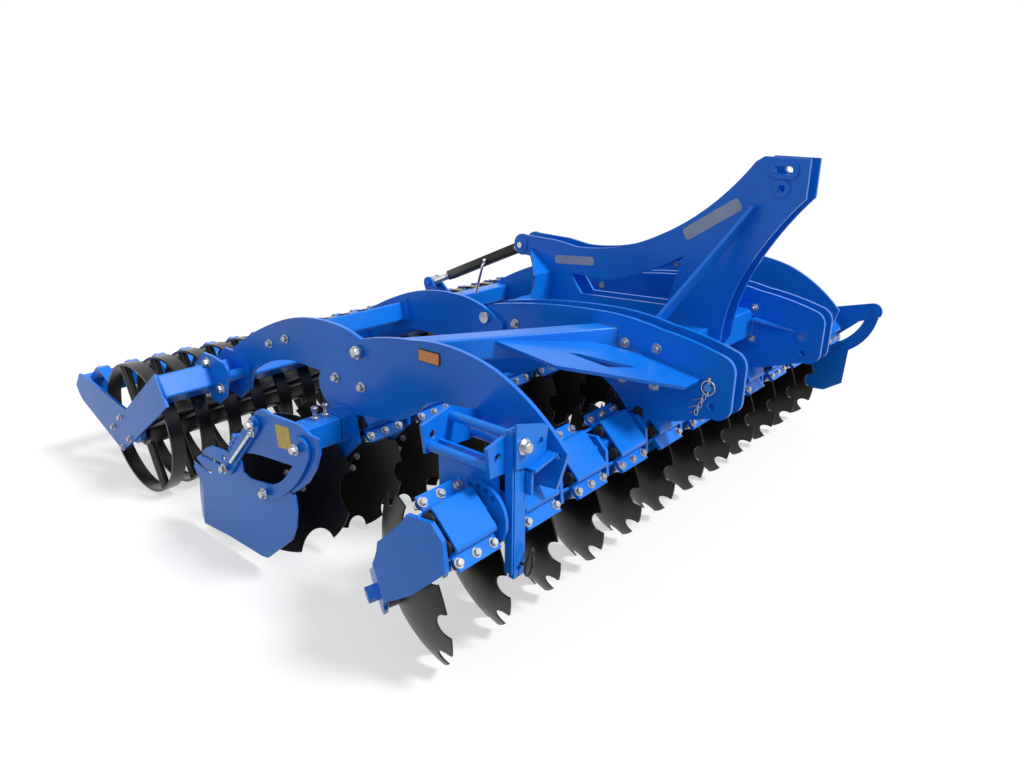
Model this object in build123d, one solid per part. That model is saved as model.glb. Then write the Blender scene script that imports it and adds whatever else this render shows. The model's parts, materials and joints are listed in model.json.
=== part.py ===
from build123d import *
import math
import os

os.makedirs("parts", exist_ok=True)

# Tractor-mounted compact disc harrow. Millimetres. While it is being laid out, X runs across the
# working width, Y points away from the tractor, Z is up, y = 0 is the front disc row and z = 0 the
# floor. At the end everything is moved so that the origin lies under the centre of the whole.

# ---------------------------------------------------------------- driving sizes
# rows and discs
ROW_GAP = 821.0
DISC_PITCH = 250.0
FRONT_DISCS = 12
FRONT_FIRST_X = -1375.0
REAR_DISCS = 11
REAR_FIRST_X = -1035.0
END_DISC_X = -1278.0
DISC_RADIUS = 272.5
DISC_DEPTH = 73.0
DISC_THICKNESS = 5.0
DISC_ANGLE = 24.0
DISC_TILT = 8.3
NOTCHES = 10
NOTCH_RADIUS = 41.0
END_NOTCHES = 6
END_NOTCH_RADIUS = 84.0
END_NOTCH_OFFSET = 17.0
# hubs, measured from the rim plane backwards along the disc's axis
HUB_RADIUS = 58.0
HUB_START = 75.0
HUB_END = 107.0
SPINDLE_RADIUS = 20.0
SPINDLE_START = 87.0
RUNNING_FIT = 0.05
HUB_BOTTOM_GAP = 3.0
COLLAR_RADIUS = 30.0
COLLAR_END_GAP = 4.0
COLLAR_WALL = 9.0
COLLAR_LENGTH = 40.0
ARM_FACE = 128.0
NUT_END = 160.0
NUT_ACROSS = 44.0
# beams
BEAM = 80.0
BEAM_WALL = 8.0
BEAM_CORNER = 8.0
FRONT_BEAM_Y = -196.0
BEAM_Z = 530.0
FRONT_BEAM_LEFT = -1499.0
FRONT_BEAM_RIGHT = 1500.0
REAR_BEAM_LEFT = -1395.0
REAR_BEAM_RIGHT = 1558.0
# clamp housings, turned 45 degrees about the beam
HOUSING_HALF = 62.7
HOUSING_WALL = 8.0
HOUSING_BEND = 14.0
FLANGE_REACH = 115.0
FLANGE_LEVEL = 24.7
CAP_LENGTH = 156.0
CAP_SHIFT = -9.5
FIRST_CAP_SHIFT = -43.0
SHELL_START = -85.0
SHELL_LENGTH = 135.0
RUBBER_RADIUS = 19.6
RUBBER_OFFSET = 59.9
RUBBER_STICK_OUT = 9.0
# arms
ARM_X = -148.0
ARM_THICKNESS = 15.0
ARM_BEAM_GAP = 2.0
ARM_FOLD_Y = -22.0
ARM_FOLD_Z = 248.0
TIE_DEPTH = 70.0
# side plates (outer pair) and link plates (inner, twin)
PLATE = 15.0
JOINT_GAP = 2.0
SIDE_PLATE_X = 1130.0
LINK_SPAN = 825.0
LINK_GAP = 70.0
PIN_RADIUS = 14.0
PIN_Y = -460.0
PIN_Z = 745.0
PIN_STICK_OUT = 18.0
PIN_BOSS = 8.0
PIN_BOSS_RADIUS = 32.0
PIN_HOLE_DROP = 72.0
PIVOT_Y = 525.0
PIVOT_Z = 818.0
PIVOT_RADIUS = 15.0
# frame members
BRACE = 80.0
HEAD_TUBE = 120.0
HEAD_TUBE_Y = -187.0
HEAD_TUBE_Z = 768.0
HEAD_PLATE_X = 40.0
TOP_PIN_Y = -461.0
TOP_PIN_Z = 1360.0
TOP_BORE_RADIUS = 12.75
# rear section
CROSS_TUBE = 80.0
CROSS_TUBE_Y = 1050.0
CROSS_TUBE_Z = 750.0
CENTRE_TUBE_Y = 1252.0
CENTRE_TUBE_Z = 664.0
ROLLER_TUBE = 100.0
ROLLER_TUBE_Y = 1430.0
ROLLER_TUBE_Z = 538.0
ROLLER_TUBE_TURN = 55.0
SCRAPER_TUBE = 80.0
SCRAPER_TUBE_Y = 2160.0
SCRAPER_TUBE_Z = 390.0
SCRAPER_TUBE_TURN = 13.0
ROLLER_FRAME_HALF = 1434.0
ROLLER_PLATE = 12.0
# roller
ROLLER_Y = 1715.0
ROLLER_RADIUS = 290.0
RINGS = 22
ROLLER_END_GAP = 48.0
RING_PITCH = 2 * (ROLLER_FRAME_HALF - ROLLER_END_GAP) / (RINGS - 1)
RING_WIDTH = 58.0
RING_THICKNESS = 10.0
ROLLER_TUBE_RADIUS = 80.0
SPOKE_RADIUS = 19.0
SPOKE_ANGLES = (156.0, 66.0, -24.0, -114.0)
SHAFT_RADIUS = 25.0
BEARING_RADIUS = 60.0
BEARING_WIDTH = 22.0
# turnbuckle
SCREW_BOTTOM_Y = 1328.0
SCREW_BOTTOM_Z = 773.0
SCREW_PIN_RADIUS = 12.5
# near deflector
SLEEVE_WALL = 6.0
SLEEVE_CLEARANCE = 0.5
LINK_LENGTH = 312.0

BEAM_HALF = BEAM / 2
REAR_BEAM_Y = FRONT_BEAM_Y + ROW_GAP
FB = (FRONT_BEAM_Y, BEAM_Z)
RB = (REAR_BEAM_Y, BEAM_Z)
DISC_NORMAL = Vector(
    math.cos(math.radians(DISC_TILT)) * math.cos(math.radians(DISC_ANGLE)),
    -math.cos(math.radians(DISC_TILT)) * math.sin(math.radians(DISC_ANGLE)),
    math.sin(math.radians(DISC_TILT)),
)
DISC_ACROSS = Vector(math.sin(math.radians(DISC_ANGLE)), math.cos(math.radians(DISC_ANGLE)), 0)
BALL = (DISC_RADIUS**2 + DISC_DEPTH**2) / (2 * DISC_DEPTH)
BALL_Z = BALL - DISC_DEPTH
RIM_BACK = math.sqrt((BALL + DISC_THICKNESS) ** 2 - DISC_RADIUS**2) - BALL_Z
DISC_Z = DISC_RADIUS * math.cos(math.radians(DISC_TILT)) + RIM_BACK * math.sin(math.radians(DISC_TILT))
DISC_CENTRE = Vector(0, 0, DISC_Z)

# x of every disc of the two rows
FRONT_XS = [FRONT_FIRST_X + DISC_PITCH * i for i in range(FRONT_DISCS)]
REAR_XS = [REAR_FIRST_X + DISC_PITCH * i for i in range(REAR_DISCS)]

nodes = {}


# ---------------------------------------------------------------- helpers
def near(anchor, dy, dz):
    """Point of the side view, given by its distance from an anchor."""
    return (anchor[0] + dy, anchor[1] + dz)


def outline(path):
    """Flat face in the plane x = 0. Each step of the path is a corner (y, z), or a pair of them:
    an arc through the first to the second."""
    here = path[0]
    edges = []
    for step in path[1:]:
        if isinstance(step[0], tuple):
            via, end = step
            edges.append(Edge.make_three_point_arc((0, *here), (0, *via), (0, *end)))
        else:
            end = step
            edges.append(Edge.make_line((0, *here), (0, *end)))
        here = end
    if here != path[0]:
        edges.append(Edge.make_line((0, *here), (0, *path[0])))
    return Face(Wire(edges))


def plate(path, low_x, thickness):
    """Flat plate normal to X from its side outline."""
    return Pos(low_x, 0, 0) * extrude(outline(path), amount=thickness, dir=(1, 0, 0))


def round_bar(low_x, high_x, y, z, radius):
    """Round bar along X."""
    middle = (low_x + high_x) / 2
    return Pos(middle, y, z) * Rot(0, 90, 0) * Cylinder(radius, high_x - low_x)


def square_tube(low_x, high_x, y, z, side, wall, turn=0.0, corner=None):
    """Square tube along X, turned about its own axis."""
    bend = wall if corner is None else corner
    section = RectangleRounded(side, side, bend) - RectangleRounded(side - 2 * wall, side - 2 * wall, bend / 2)
    tube = extrude(Plane.YZ * section, amount=high_x - low_x)
    return Pos(low_x, y, z) * Rot(turn, 0, 0) * tube


def square_bar(low_x, high_x, y, z, side, turn=0.0):
    """Square block along X that fills a tube's outline, for cutting."""
    return Pos((low_x + high_x) / 2, y, z) * Rot(turn, 0, 0) * Box(high_x - low_x, side, side)


def mirrored(shape):
    """The same piece on the other side of the machine."""
    return mirror(shape, about=Plane.YZ)


def group(shapes):
    """One node made of several separate pieces."""
    return Compound([solid for shape in shapes for solid in shape.solids()])


def without(shapes, cutters):
    """Pieces of a list with others cut out of them, so that they meet face to face."""
    boxes = [(cutter, cutter.bounding_box()) for cutter in cutters]
    kept = []
    for shape in shapes:
        own = shape.bounding_box()
        for cutter, box in boxes:
            if own.min.X < box.max.X and box.min.X < own.max.X:
                shape = shape - cutter
        kept.append(shape)
    return kept


# ---------------------------------------------------------------- discs
def disc_blade(notch_count, notch_radius, notch_offset):
    """Notched spherical blade and its hub, about the Z axis, hollow side up, rim plane at z = 0."""
    half = DISC_RADIUS / 2
    inner_mid = BALL_Z - math.sqrt(BALL**2 - half**2)
    outer_mid = BALL_Z - math.sqrt((BALL + DISC_THICKNESS) ** 2 - half**2)
    outer_rim = -RIM_BACK
    section = Face(
        Wire(
            [
                Edge.make_three_point_arc((0, 0, -DISC_DEPTH), (half, 0, inner_mid), (DISC_RADIUS, 0, 0)),
                Edge.make_line((DISC_RADIUS, 0, 0), (DISC_RADIUS, 0, outer_rim)),
                Edge.make_three_point_arc(
                    (DISC_RADIUS, 0, outer_rim), (half, 0, outer_mid), (0, 0, -DISC_DEPTH - DISC_THICKNESS)
                ),
                Edge.make_line((0, 0, -DISC_DEPTH - DISC_THICKNESS), (0, 0, -DISC_DEPTH)),
            ]
        )
    )
    blade = revolve(section, Axis.Z, 360)
    reach = DISC_RADIUS + notch_offset
    for i in range(notch_count):
        turn = Rot(0, 0, 360 / notch_count * i)
        blade -= turn * Pos(reach, 0, 0) * Cylinder(notch_radius, 4 * DISC_DEPTH)
    hub_length = HUB_END - HUB_START
    blade += Pos(0, 0, -HUB_START - hub_length / 2) * Cylinder(HUB_RADIUS, hub_length)
    bore_start = SPINDLE_START - HUB_BOTTOM_GAP
    bore_length = HUB_END - bore_start
    bore = Pos(0, 0, -bore_start - bore_length / 2) * Cylinder(SPINDLE_RADIUS + RUNNING_FIT, bore_length)
    return blade - bore


def disc_at(blade, x, y, side):
    """Blade set at its angle; side is 1 for the front row and -1 for the mirrored rear row."""
    seat = Plane(
        origin=(x, y, DISC_Z),
        x_dir=(DISC_ACROSS.X * side, DISC_ACROSS.Y, 0),
        z_dir=(DISC_NORMAL.X * side, DISC_NORMAL.Y, DISC_NORMAL.Z),
    )
    return seat * blade


# ---------------------------------------------------------------- clamps and arms
CLAMP_OUT = Vector(0, -1, 1).normalized()
CLAMP_ALONG = Vector(0, -1, -1).normalized()


def clamp_section(points, length, start_x, bends=()):
    """Block along X from a section in the clamp's own axes: (along the face, out of the face)."""
    plane = Plane(origin=(start_x, *FB), x_dir=CLAMP_ALONG, z_dir=(1, 0, 0))
    face = make_face(Polyline(*points, close=True))
    for corner, radius in bends:
        vertex = face.vertices().sort_by_distance((corner[0], corner[1], 0))[0]
        face = fillet(vertex, radius)
    solid = extrude(plane * face, amount=length, dir=(1, 0, 0))
    return solid


def out_sign():
    """+1 if the clamp plane's second axis points out of the face, else -1."""
    plane = Plane(origin=(0, 0, 0), x_dir=CLAMP_ALONG, z_dir=(1, 0, 0))
    return 1.0 if plane.y_dir.dot(CLAMP_OUT) > 0 else -1.0


OUT = out_sign()


def clamp_cap(shift):
    """Bolted front cap of a clamp housing, as the front arm at x = 0 has it."""
    inner = HOUSING_HALF
    outer = HOUSING_HALF + HOUSING_WALL
    low = FLANGE_LEVEL
    high = FLANGE_LEVEL + HOUSING_WALL
    points = [
        (-FLANGE_REACH, low * OUT),
        (-FLANGE_REACH, high * OUT),
        (-outer, high * OUT),
        (-outer, outer * OUT),
        (outer, outer * OUT),
        (outer, high * OUT),
        (FLANGE_REACH, high * OUT),
        (FLANGE_REACH, low * OUT),
        (inner, low * OUT),
        (inner, inner * OUT),
        (-inner, inner * OUT),
        (-inner, low * OUT),
    ]
    tight = HOUSING_BEND - HOUSING_WALL
    bends = [
        ((-outer, outer * OUT), HOUSING_BEND),
        ((outer, outer * OUT), HOUSING_BEND),
        ((-inner, inner * OUT), tight),
        ((inner, inner * OUT), tight),
    ]
    return clamp_section(points, CAP_LENGTH, shift - CAP_LENGTH / 2, bends)


def clamp_shell():
    """Rear half of a clamp housing, which the arm carries."""
    inner = HOUSING_HALF
    outer = HOUSING_HALF + HOUSING_WALL
    high = FLANGE_LEVEL
    low = FLANGE_LEVEL - HOUSING_WALL
    points = [
        (-FLANGE_REACH, high * OUT),
        (-FLANGE_REACH, low * OUT),
        (-outer, low * OUT),
        (-outer, -outer * OUT),
        (outer, -outer * OUT),
        (outer, low * OUT),
        (FLANGE_REACH, low * OUT),
        (FLANGE_REACH, high * OUT),
        (inner, high * OUT),
        (inner, -inner * OUT),
        (-inner, -inner * OUT),
        (-inner, high * OUT),
    ]
    tight = HOUSING_BEND - HOUSING_WALL
    bends = [
        ((-outer, -outer * OUT), HOUSING_BEND),
        ((outer, -outer * OUT), HOUSING_BEND),
        ((-inner, -inner * OUT), tight),
        ((inner, -inner * OUT), tight),
    ]
    return clamp_section(points, SHELL_LENGTH, SHELL_START, bends)


def arm_tie(side, depth):
    """Flat bar from the arm plate to the shell, in line with one wall of the housing."""
    inner = HOUSING_HALF * side
    outer = (HOUSING_HALF + HOUSING_WALL) * side
    high = FLANGE_LEVEL
    low = FLANGE_LEVEL - depth
    points = [(inner, high * OUT), (outer, high * OUT), (outer, low * OUT), (inner, low * OUT)]
    start = ARM_X + ARM_THICKNESS / 2
    return clamp_section(points, SHELL_START + 1 - start, start)


# side outline of the arm plate: head round the beam, then back and down to the hub
ARM_PATH = [
    near(FB, -77, -62),
    near(FB, -67, 28),
    near(FB, -28, 67),
    near(FB, 67, 59),
    near(FB, 88, 28),
    (near(FB, 152, -35), near(FB, 194, -74)),
    (near(FB, 225, -160), near(FB, 258, -199)),
    near(FB, 290, -224),
    near(FB, 290, -255),
    near(FB, 244, -331),
    (near(FB, 228, -347), near(FB, 212, -338)),
    near(FB, 195, -310),
    (near(FB, 188, -278), near(FB, 168, -262)),
    near(FB, 60, -190),
]


def bent_sheet():
    """Endless bent sheet: flat beside the clamp, then square to the disc's axis."""
    fold = Vector(0, DISC_NORMAL.Z, -DISC_NORMAL.Y).normalized()
    back = Vector(0, fold.Z, -fold.Y)
    normal_x = DISC_NORMAL.dot(Vector(1, 0, 0))
    normal_back = DISC_NORMAL.dot(back)
    reach = 2 * ROW_GAP
    inner_corner = (normal_x - 1) * ARM_THICKNESS / normal_back
    points = [
        (0, -reach),
        (0, 0),
        (-normal_back * reach, normal_x * reach),
        (-normal_back * reach + normal_x * ARM_THICKNESS, normal_x * reach + normal_back * ARM_THICKNESS),
        (ARM_THICKNESS, -inner_corner),
        (ARM_THICKNESS, -reach),
    ]
    origin_y = -fold_shift()
    plane = Plane(origin=(ARM_X, ARM_FOLD_Y + origin_y, ARM_FOLD_Z), x_dir=(1, 0, 0), z_dir=fold)
    face = make_face(Polyline(*points, close=True))
    return extrude(plane * face, amount=reach, both=True)


def fold_shift():
    """How far the fold line is moved so that the folded part lies on the hub's face."""
    corner = Vector(ARM_X, ARM_FOLD_Y, ARM_FOLD_Z) - DISC_CENTRE
    return (corner.dot(DISC_NORMAL) + ARM_FACE) / DISC_NORMAL.Y


def arm_blank(past_beam=False):
    """Arm plate with its spindle and nut, for the front disc at x = 0; one past the beam's end is whole."""
    blank = plate(ARM_PATH, ARM_X - ARM_THICKNESS, -ARM_X)
    if not past_beam:
        blank -= square_bar(2 * ARM_X, 0, *FB, BEAM + 2 * ARM_BEAM_GAP)
    arm = blank & bent_sheet()
    axle = Plane(origin=DISC_CENTRE, x_dir=DISC_ACROSS, z_dir=-DISC_NORMAL)
    spindle_length = ARM_FACE - SPINDLE_START
    arm += axle * Pos(0, 0, SPINDLE_START + spindle_length / 2) * Cylinder(SPINDLE_RADIUS, spindle_length)
    collar_start = HUB_END + COLLAR_END_GAP
    collar_length = ARM_FACE - collar_start
    arm += axle * Pos(0, 0, collar_start + collar_length / 2) * Cylinder(COLLAR_RADIUS, collar_length)
    nut_length = NUT_END - ARM_FACE
    nut = extrude(RegularPolygon(NUT_ACROSS / 2, 6, major_radius=False), amount=nut_length)
    return arm + axle * Pos(0, 0, ARM_FACE) * nut


def spring_arm(blank):
    """Arm with its half of the clamp housing."""
    return blank + arm_tie(1, TIE_DEPTH) + arm_tie(-1, TIE_DEPTH / 2) + clamp_shell()


def rigid_arm(blank):
    """Arm whose plate is fixed to the beam by a square collar."""
    start = ARM_X + ARM_THICKNESS
    collar = square_tube(start, start + COLLAR_LENGTH, *FB, BEAM + 2 * COLLAR_WALL, COLLAR_WALL)
    return blank + collar


def rubbers(cap_shift):
    """Four rubber cords between the beam's flats and the housing's corners, as (solid) list."""
    cap_low = cap_shift - CAP_LENGTH / 2
    cap_high = cap_shift + CAP_LENGTH / 2
    shell_high = SHELL_START + SHELL_LENGTH
    # columns: dy, dz, low x, high x
    cords = [
        (0, RUBBER_OFFSET, cap_low - RUBBER_STICK_OUT, cap_high + RUBBER_STICK_OUT),
        (-RUBBER_OFFSET, 0, cap_low - RUBBER_STICK_OUT, cap_high + RUBBER_STICK_OUT),
        (0, -RUBBER_OFFSET, SHELL_START, shell_high + RUBBER_STICK_OUT),
        (RUBBER_OFFSET, 0, SHELL_START, shell_high + RUBBER_STICK_OUT),
    ]
    return [round_bar(low, high, FRONT_BEAM_Y + dy, BEAM_Z + dz, RUBBER_RADIUS) for dy, dz, low, high in cords]


def cap_shift_of(index):
    """The clamp of the first front disc sits further out."""
    return FIRST_CAP_SHIFT if index == 0 else CAP_SHIFT


def front_row(blade, arm, arched):
    """Discs, arms, caps and rubbers of the front row; the arched plates pass through them."""
    arms, caps, cords = [], [], []
    first_arm = spring_arm(arm_blank(past_beam=True))
    for i, x in enumerate(FRONT_XS):
        nodes[f"disc_front_{i + 1:02d}"] = disc_at(blade, x, 0, 1)
        arms.append(Pos(x, 0, 0) * (first_arm if i == 0 else arm))
        caps.append(Pos(x, 0, 0) * clamp_cap(cap_shift_of(i)))
        cords += [Pos(x, 0, 0) * cord for cord in rubbers(cap_shift_of(i))]
    nodes["arms_front"] = group(without(arms, arched))
    return without(caps, arched), without(cords, arched)


def rear_row(blade, front_arm, arched):
    """The same mirrored, with the wide-notched end disc on its rigid arm."""
    end_blade = disc_blade(END_NOTCHES, END_NOTCH_RADIUS, END_NOTCH_OFFSET)
    arm = mirrored(front_arm)
    cap = mirrored(clamp_cap(CAP_SHIFT))
    cord_set = [mirrored(cord) for cord in rubbers(CAP_SHIFT)]
    arms = [Pos(END_DISC_X, ROW_GAP, 0) * mirrored(rigid_arm(arm_blank()))]
    caps, cords = [], []
    nodes["disc_rear_01"] = disc_at(end_blade, END_DISC_X, ROW_GAP, -1)
    for i, x in enumerate(REAR_XS):
        nodes[f"disc_rear_{i + 2:02d}"] = disc_at(blade, x, ROW_GAP, -1)
        arms.append(Pos(x, ROW_GAP, 0) * arm)
        caps.append(Pos(x, ROW_GAP, 0) * cap)
        cords += [Pos(x, ROW_GAP, 0) * cord for cord in cord_set]
    nodes["arms_rear"] = group(without(arms, arched))
    return without(caps, arched), without(cords, arched)


def disc_rows():
    """Both rows, with the caps in one node and the rubbers in another."""
    blade = disc_blade(NOTCHES, NOTCH_RADIUS, 0)
    arm = spring_arm(arm_blank())
    arched = nodes["side_plates"].solids() + nodes["link_plates"].solids()
    front_caps, front_cords = front_row(blade, arm, arched)
    rear_caps, rear_cords = rear_row(blade, arm, arched)
    nodes["clamp_caps"] = group(front_caps + rear_caps)
    nodes["rubbers"] = group(front_cords + rear_cords)


# ---------------------------------------------------------------- frame
def beams():
    """The two hollow cross beams that carry the disc rows."""
    front = square_tube(FRONT_BEAM_LEFT, FRONT_BEAM_RIGHT, *FB, BEAM, BEAM_WALL, corner=BEAM_CORNER)
    rear = square_tube(REAR_BEAM_LEFT, REAR_BEAM_RIGHT, *RB, BEAM, BEAM_WALL, corner=BEAM_CORNER)
    nodes["beams"] = group([front, rear])


# rear lobe and lower arch, shared by the side plates and the link plates
REAR_LOBE = [
    (near(RB, 13, 265), near(RB, 97, 163)),
    (near(RB, 88, 93), near(RB, BEAM_HALF, BEAM_HALF)),
    near(RB, -BEAM_HALF, BEAM_HALF),
    near(RB, -267, 76),
    (near(RB, -345, 112), near(RB, -425, 176)),
    (near(FB, 294, 204), near(FB, 194, 170)),
    (near(FB, 92, 104), near(FB, BEAM_HALF, BEAM_HALF)),
    near(FB, -BEAM_HALF, BEAM_HALF),
]

SIDE_PATH = [
    near(FB, -BEAM_HALF, BEAM_HALF),
    near(FB, -134, 50),
    near(FB, -167, 160),
    (near(FB, -168, 170), near(FB, -160, 179)),
    (near(FB, -47, 277), near(FB, 101, 356)),
    (near(FB, 233, 386), near(FB, 453, 380)),
    (near(RB, -150, 345), near(RB, -78, 325)),
    (near(RB, 62, 247), near(RB, 148, 142)),
    (near(RB, 139, 84), near(RB, 104, 50)),
    near(RB, BEAM_HALF, BEAM_HALF),
    *REAR_LOBE[2:],
]
SIDE_HOLE = near(FB, -137, 155)
SIDE_HOLE_RADIUS = 10.0

PIN = (PIN_Y, PIN_Z)

LINK_PATH = [
    near(FB, -BEAM_HALF, BEAM_HALF),
    near(FB, -110, 48),
    near(PIN, -15, -110),
    (near(PIN, -62, -100), near(PIN, -80, -65)),
    near(PIN, -81, 60),
    (near(PIN, -68, 93), near(PIN, -38, 112)),
    (near(PIN, 60, 138), near(FB, -69, 375)),
    (near(FB, 8, 389), near(FB, 196, 399)),
    (near(FB, 386, 388), near(RB, -124, 342)),
    *REAR_LOBE,
]


def pin_hole(low_x, high_x, y, z, radius):
    """Round hole along X through everything between two x."""
    return round_bar(low_x, high_x, y, z, radius)


def side_plates():
    """Outer arched plates, one at each side, on top of both beams."""
    left = plate(SIDE_PATH, -SIDE_PLATE_X, PLATE)
    left -= pin_hole(-2 * SIDE_PLATE_X, 0, PIVOT_Y, PIVOT_Z, PIVOT_RADIUS)
    left -= pin_hole(-2 * SIDE_PLATE_X, 0, *SIDE_HOLE, SIDE_HOLE_RADIUS)
    nodes["side_plates"] = group([left, mirrored(left)])


def link_plate_starts():
    """Low x of the outer and of the inner plate of the left pair."""
    outer = -LINK_SPAN / 2 - LINK_GAP / 2 - PLATE
    inner = -LINK_SPAN / 2 + LINK_GAP / 2
    return outer, inner


def link_plates():
    """Twin arched plates with the lower hitch pins between their noses."""
    outer, inner = link_plate_starts()
    solids = []
    for start, boss_low in ((outer, outer - PIN_BOSS), (inner, inner + PLATE)):
        one = plate(LINK_PATH, start, PLATE)
        one += round_bar(boss_low, boss_low + PIN_BOSS, PIN_Y, PIN_Z, PIN_BOSS_RADIUS)
        one -= pin_hole(-SIDE_PLATE_X, 0, PIN_Y, PIN_Z, PIN_RADIUS)
        one -= pin_hole(-SIDE_PLATE_X, 0, PIN_Y - PIN_BOSS, PIN_Z - PIN_HOLE_DROP, PIN_RADIUS)
        one -= pin_hole(-SIDE_PLATE_X, 0, PIVOT_Y, PIVOT_Z, PIVOT_RADIUS)
        solids += [one, mirrored(one)]
    nodes["link_plates"] = group(solids)


def pins():
    """Lower hitch pins, the turnbuckle's upper pin, and the pins on which the rear section turns."""
    outer, inner = link_plate_starts()
    low = outer - PIN_STICK_OUT
    high = inner + PLATE + PIN_STICK_OUT
    hitch = round_bar(low, high, PIN_Y, PIN_Z, PIN_RADIUS)
    screw_end = HEAD_PLATE_X + HEAD_PLATE + PIN_STICK_OUT
    solids = [hitch, mirrored(hitch), round_bar(-screw_end, screw_end, *SCREW, SCREW_PIN_RADIUS)]
    side_low = -SIDE_PLATE_X - 8
    side_high = -SIDE_PLATE_X + 2 * PLATE + JOINT_GAP + 8
    link_low = outer - JOINT_GAP - PLATE - 8
    link_high = inner + PLATE + 8
    for low, high in ((side_low, side_high), (link_low, link_high)):
        pin = round_bar(low, high, PIVOT_Y, PIVOT_Z, PIVOT_RADIUS)
        pin += round_bar(low - 10, low, PIVOT_Y, PIVOT_Z, PIVOT_RADIUS + 8)
        solids += [pin, mirrored(pin)]
    nodes["pins"] = group(solids)


def brace_direction():
    """Ends of the centre line of the left diagonal tube, in plan."""
    outer, _ = link_plate_starts()
    return Vector(outer, BRACE_LINK_Y, BRACE_Z), Vector(-SIDE_PLATE_X + PLATE, BRACE_SIDE_Y, BRACE_Z)


BRACE_LINK_Y = -48.0
BRACE_SIDE_Y = 360.0
BRACE_Z = 844.0
FIN_THICKNESS = 12.0
FIN_SLOPE = 10.0
FIN_BOSS_GAP = 4.0
FIN_Y = -445.0
FIN_Z = 754.0


def brace_tubes():
    """Diagonal tube from the link plates to the side plate, with its pointed gusset fin."""
    start, end = brace_direction()
    run = end - start
    length = run.length
    section = RectangleRounded(BRACE, BRACE, BEAM_CORNER) - RectangleRounded(
        BRACE - 2 * BEAM_WALL, BRACE - 2 * BEAM_WALL, BEAM_CORNER / 2
    )
    plane = Plane(origin=start - run.normalized() * BRACE, x_dir=(0, 0, 1), z_dir=run)
    tube = extrude(plane * section, amount=length + 2 * BRACE)
    block = extrude(plane * Rectangle(BRACE, BRACE), amount=length + 2 * BRACE)
    outer, _ = link_plate_starts()
    inside = -SIDE_PLATE_X + PLATE
    span = outer - inside
    slab = Pos(inside + span / 2, 0, BRACE_Z) * Box(span, 4 * ROW_GAP, 4 * BRACE)
    fin_plane = Plane(origin=(0, FIN_Y, FIN_Z), x_dir=(1, 0, 0), z_dir=(0, 0, 1)).rotated((FIN_SLOPE, 0, 0))
    # fin corners: x, distance along the slope
    corners = [
        (outer, 0),
        (outer - 38, -10),
        (outer - 115, 18),
        (outer - 365, 361),
        (outer - 390, 600),
        (outer - 110, 500),
        (outer, 215),
    ]
    slot = [(outer - 243, 401), (outer - 220, 382), (outer - 131, 198), (outer - 219, 256)]
    fin = extrude(fin_plane * make_face(Polyline(*corners, close=True)), amount=FIN_THICKNESS)
    fin -= extrude(fin_plane * make_face(Polyline(*slot, close=True)), amount=FIN_THICKNESS, both=True)
    fin -= round_bar(-SIDE_PLATE_X, outer, PIN_Y, PIN_Z, PIN_BOSS_RADIUS + FIN_BOSS_GAP)
    left = (tube & slab) + (fin - block)
    left = left.solids().sort_by(SortBy.VOLUME)[-1]
    nodes["brace_tubes"] = group([left, mirrored(left)])


HEAD_FLANGE = 180.0
HEAD_FLANGE_THICKNESS = 12.0


def head_tube():
    """Thick square tube between the link plates that carries the headstock."""
    _, inner = link_plate_starts()
    face = inner + PLATE
    tube = square_tube(face, -face, HEAD_TUBE_Y, HEAD_TUBE_Z, HEAD_TUBE, BEAM_WALL, corner=BEAM_CORNER)
    flange = Box(HEAD_FLANGE_THICKNESS, HEAD_FLANGE, HEAD_FLANGE)
    offset = -face - HEAD_FLANGE_THICKNESS / 2
    tube += Pos(offset, HEAD_TUBE_Y, HEAD_TUBE_Z) * flange
    tube += Pos(-offset, HEAD_TUBE_Y, HEAD_TUBE_Z) * flange
    nodes["head_tube"] = tube


HEAD_PLATE = 12.0
HT = (HEAD_TUBE_Y, HEAD_TUBE_Z)
TOP = (TOP_PIN_Y, TOP_PIN_Z)
SCREW = (695.0, 1042.0)

HEAD_PATH = [
    near(HT, -105, 19),
    (near(HT, -127, 166), near(HT, -164, 269)),
    (near(TOP, 8, -147), near(TOP, -66, -52)),
    near(TOP, -86, -30),
    near(TOP, -86, 102),
    near(TOP, 74, 105),
    near(TOP, 103, 87),
    (near(TOP, 257, -74), near(TOP, 459, -203)),
    (near(TOP, 668, -276), near(TOP, 858, -294)),
    near(SCREW, -195, 39),
    near(SCREW, -20, 45),
    (near(SCREW, 44, 0), near(SCREW, -20, -43)),
    near(SCREW, -48, -45),
    near(SCREW, -95, -192),
    near(SCREW, -135, -242),
    near(HT, 80, 32),
    near(HT, 60, -60),
    near(HT, -60, -60),
]

# window between the plate's upper arm and its lower bar
WINDOW_PATH = [
    near(HT, 78, 320),
    (near(HT, 247, 232), near(HT, 417, 177)),
    near(HT, 614, 181),
    near(HT, 548, 100),
    near(HT, 137, 117),
]


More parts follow.
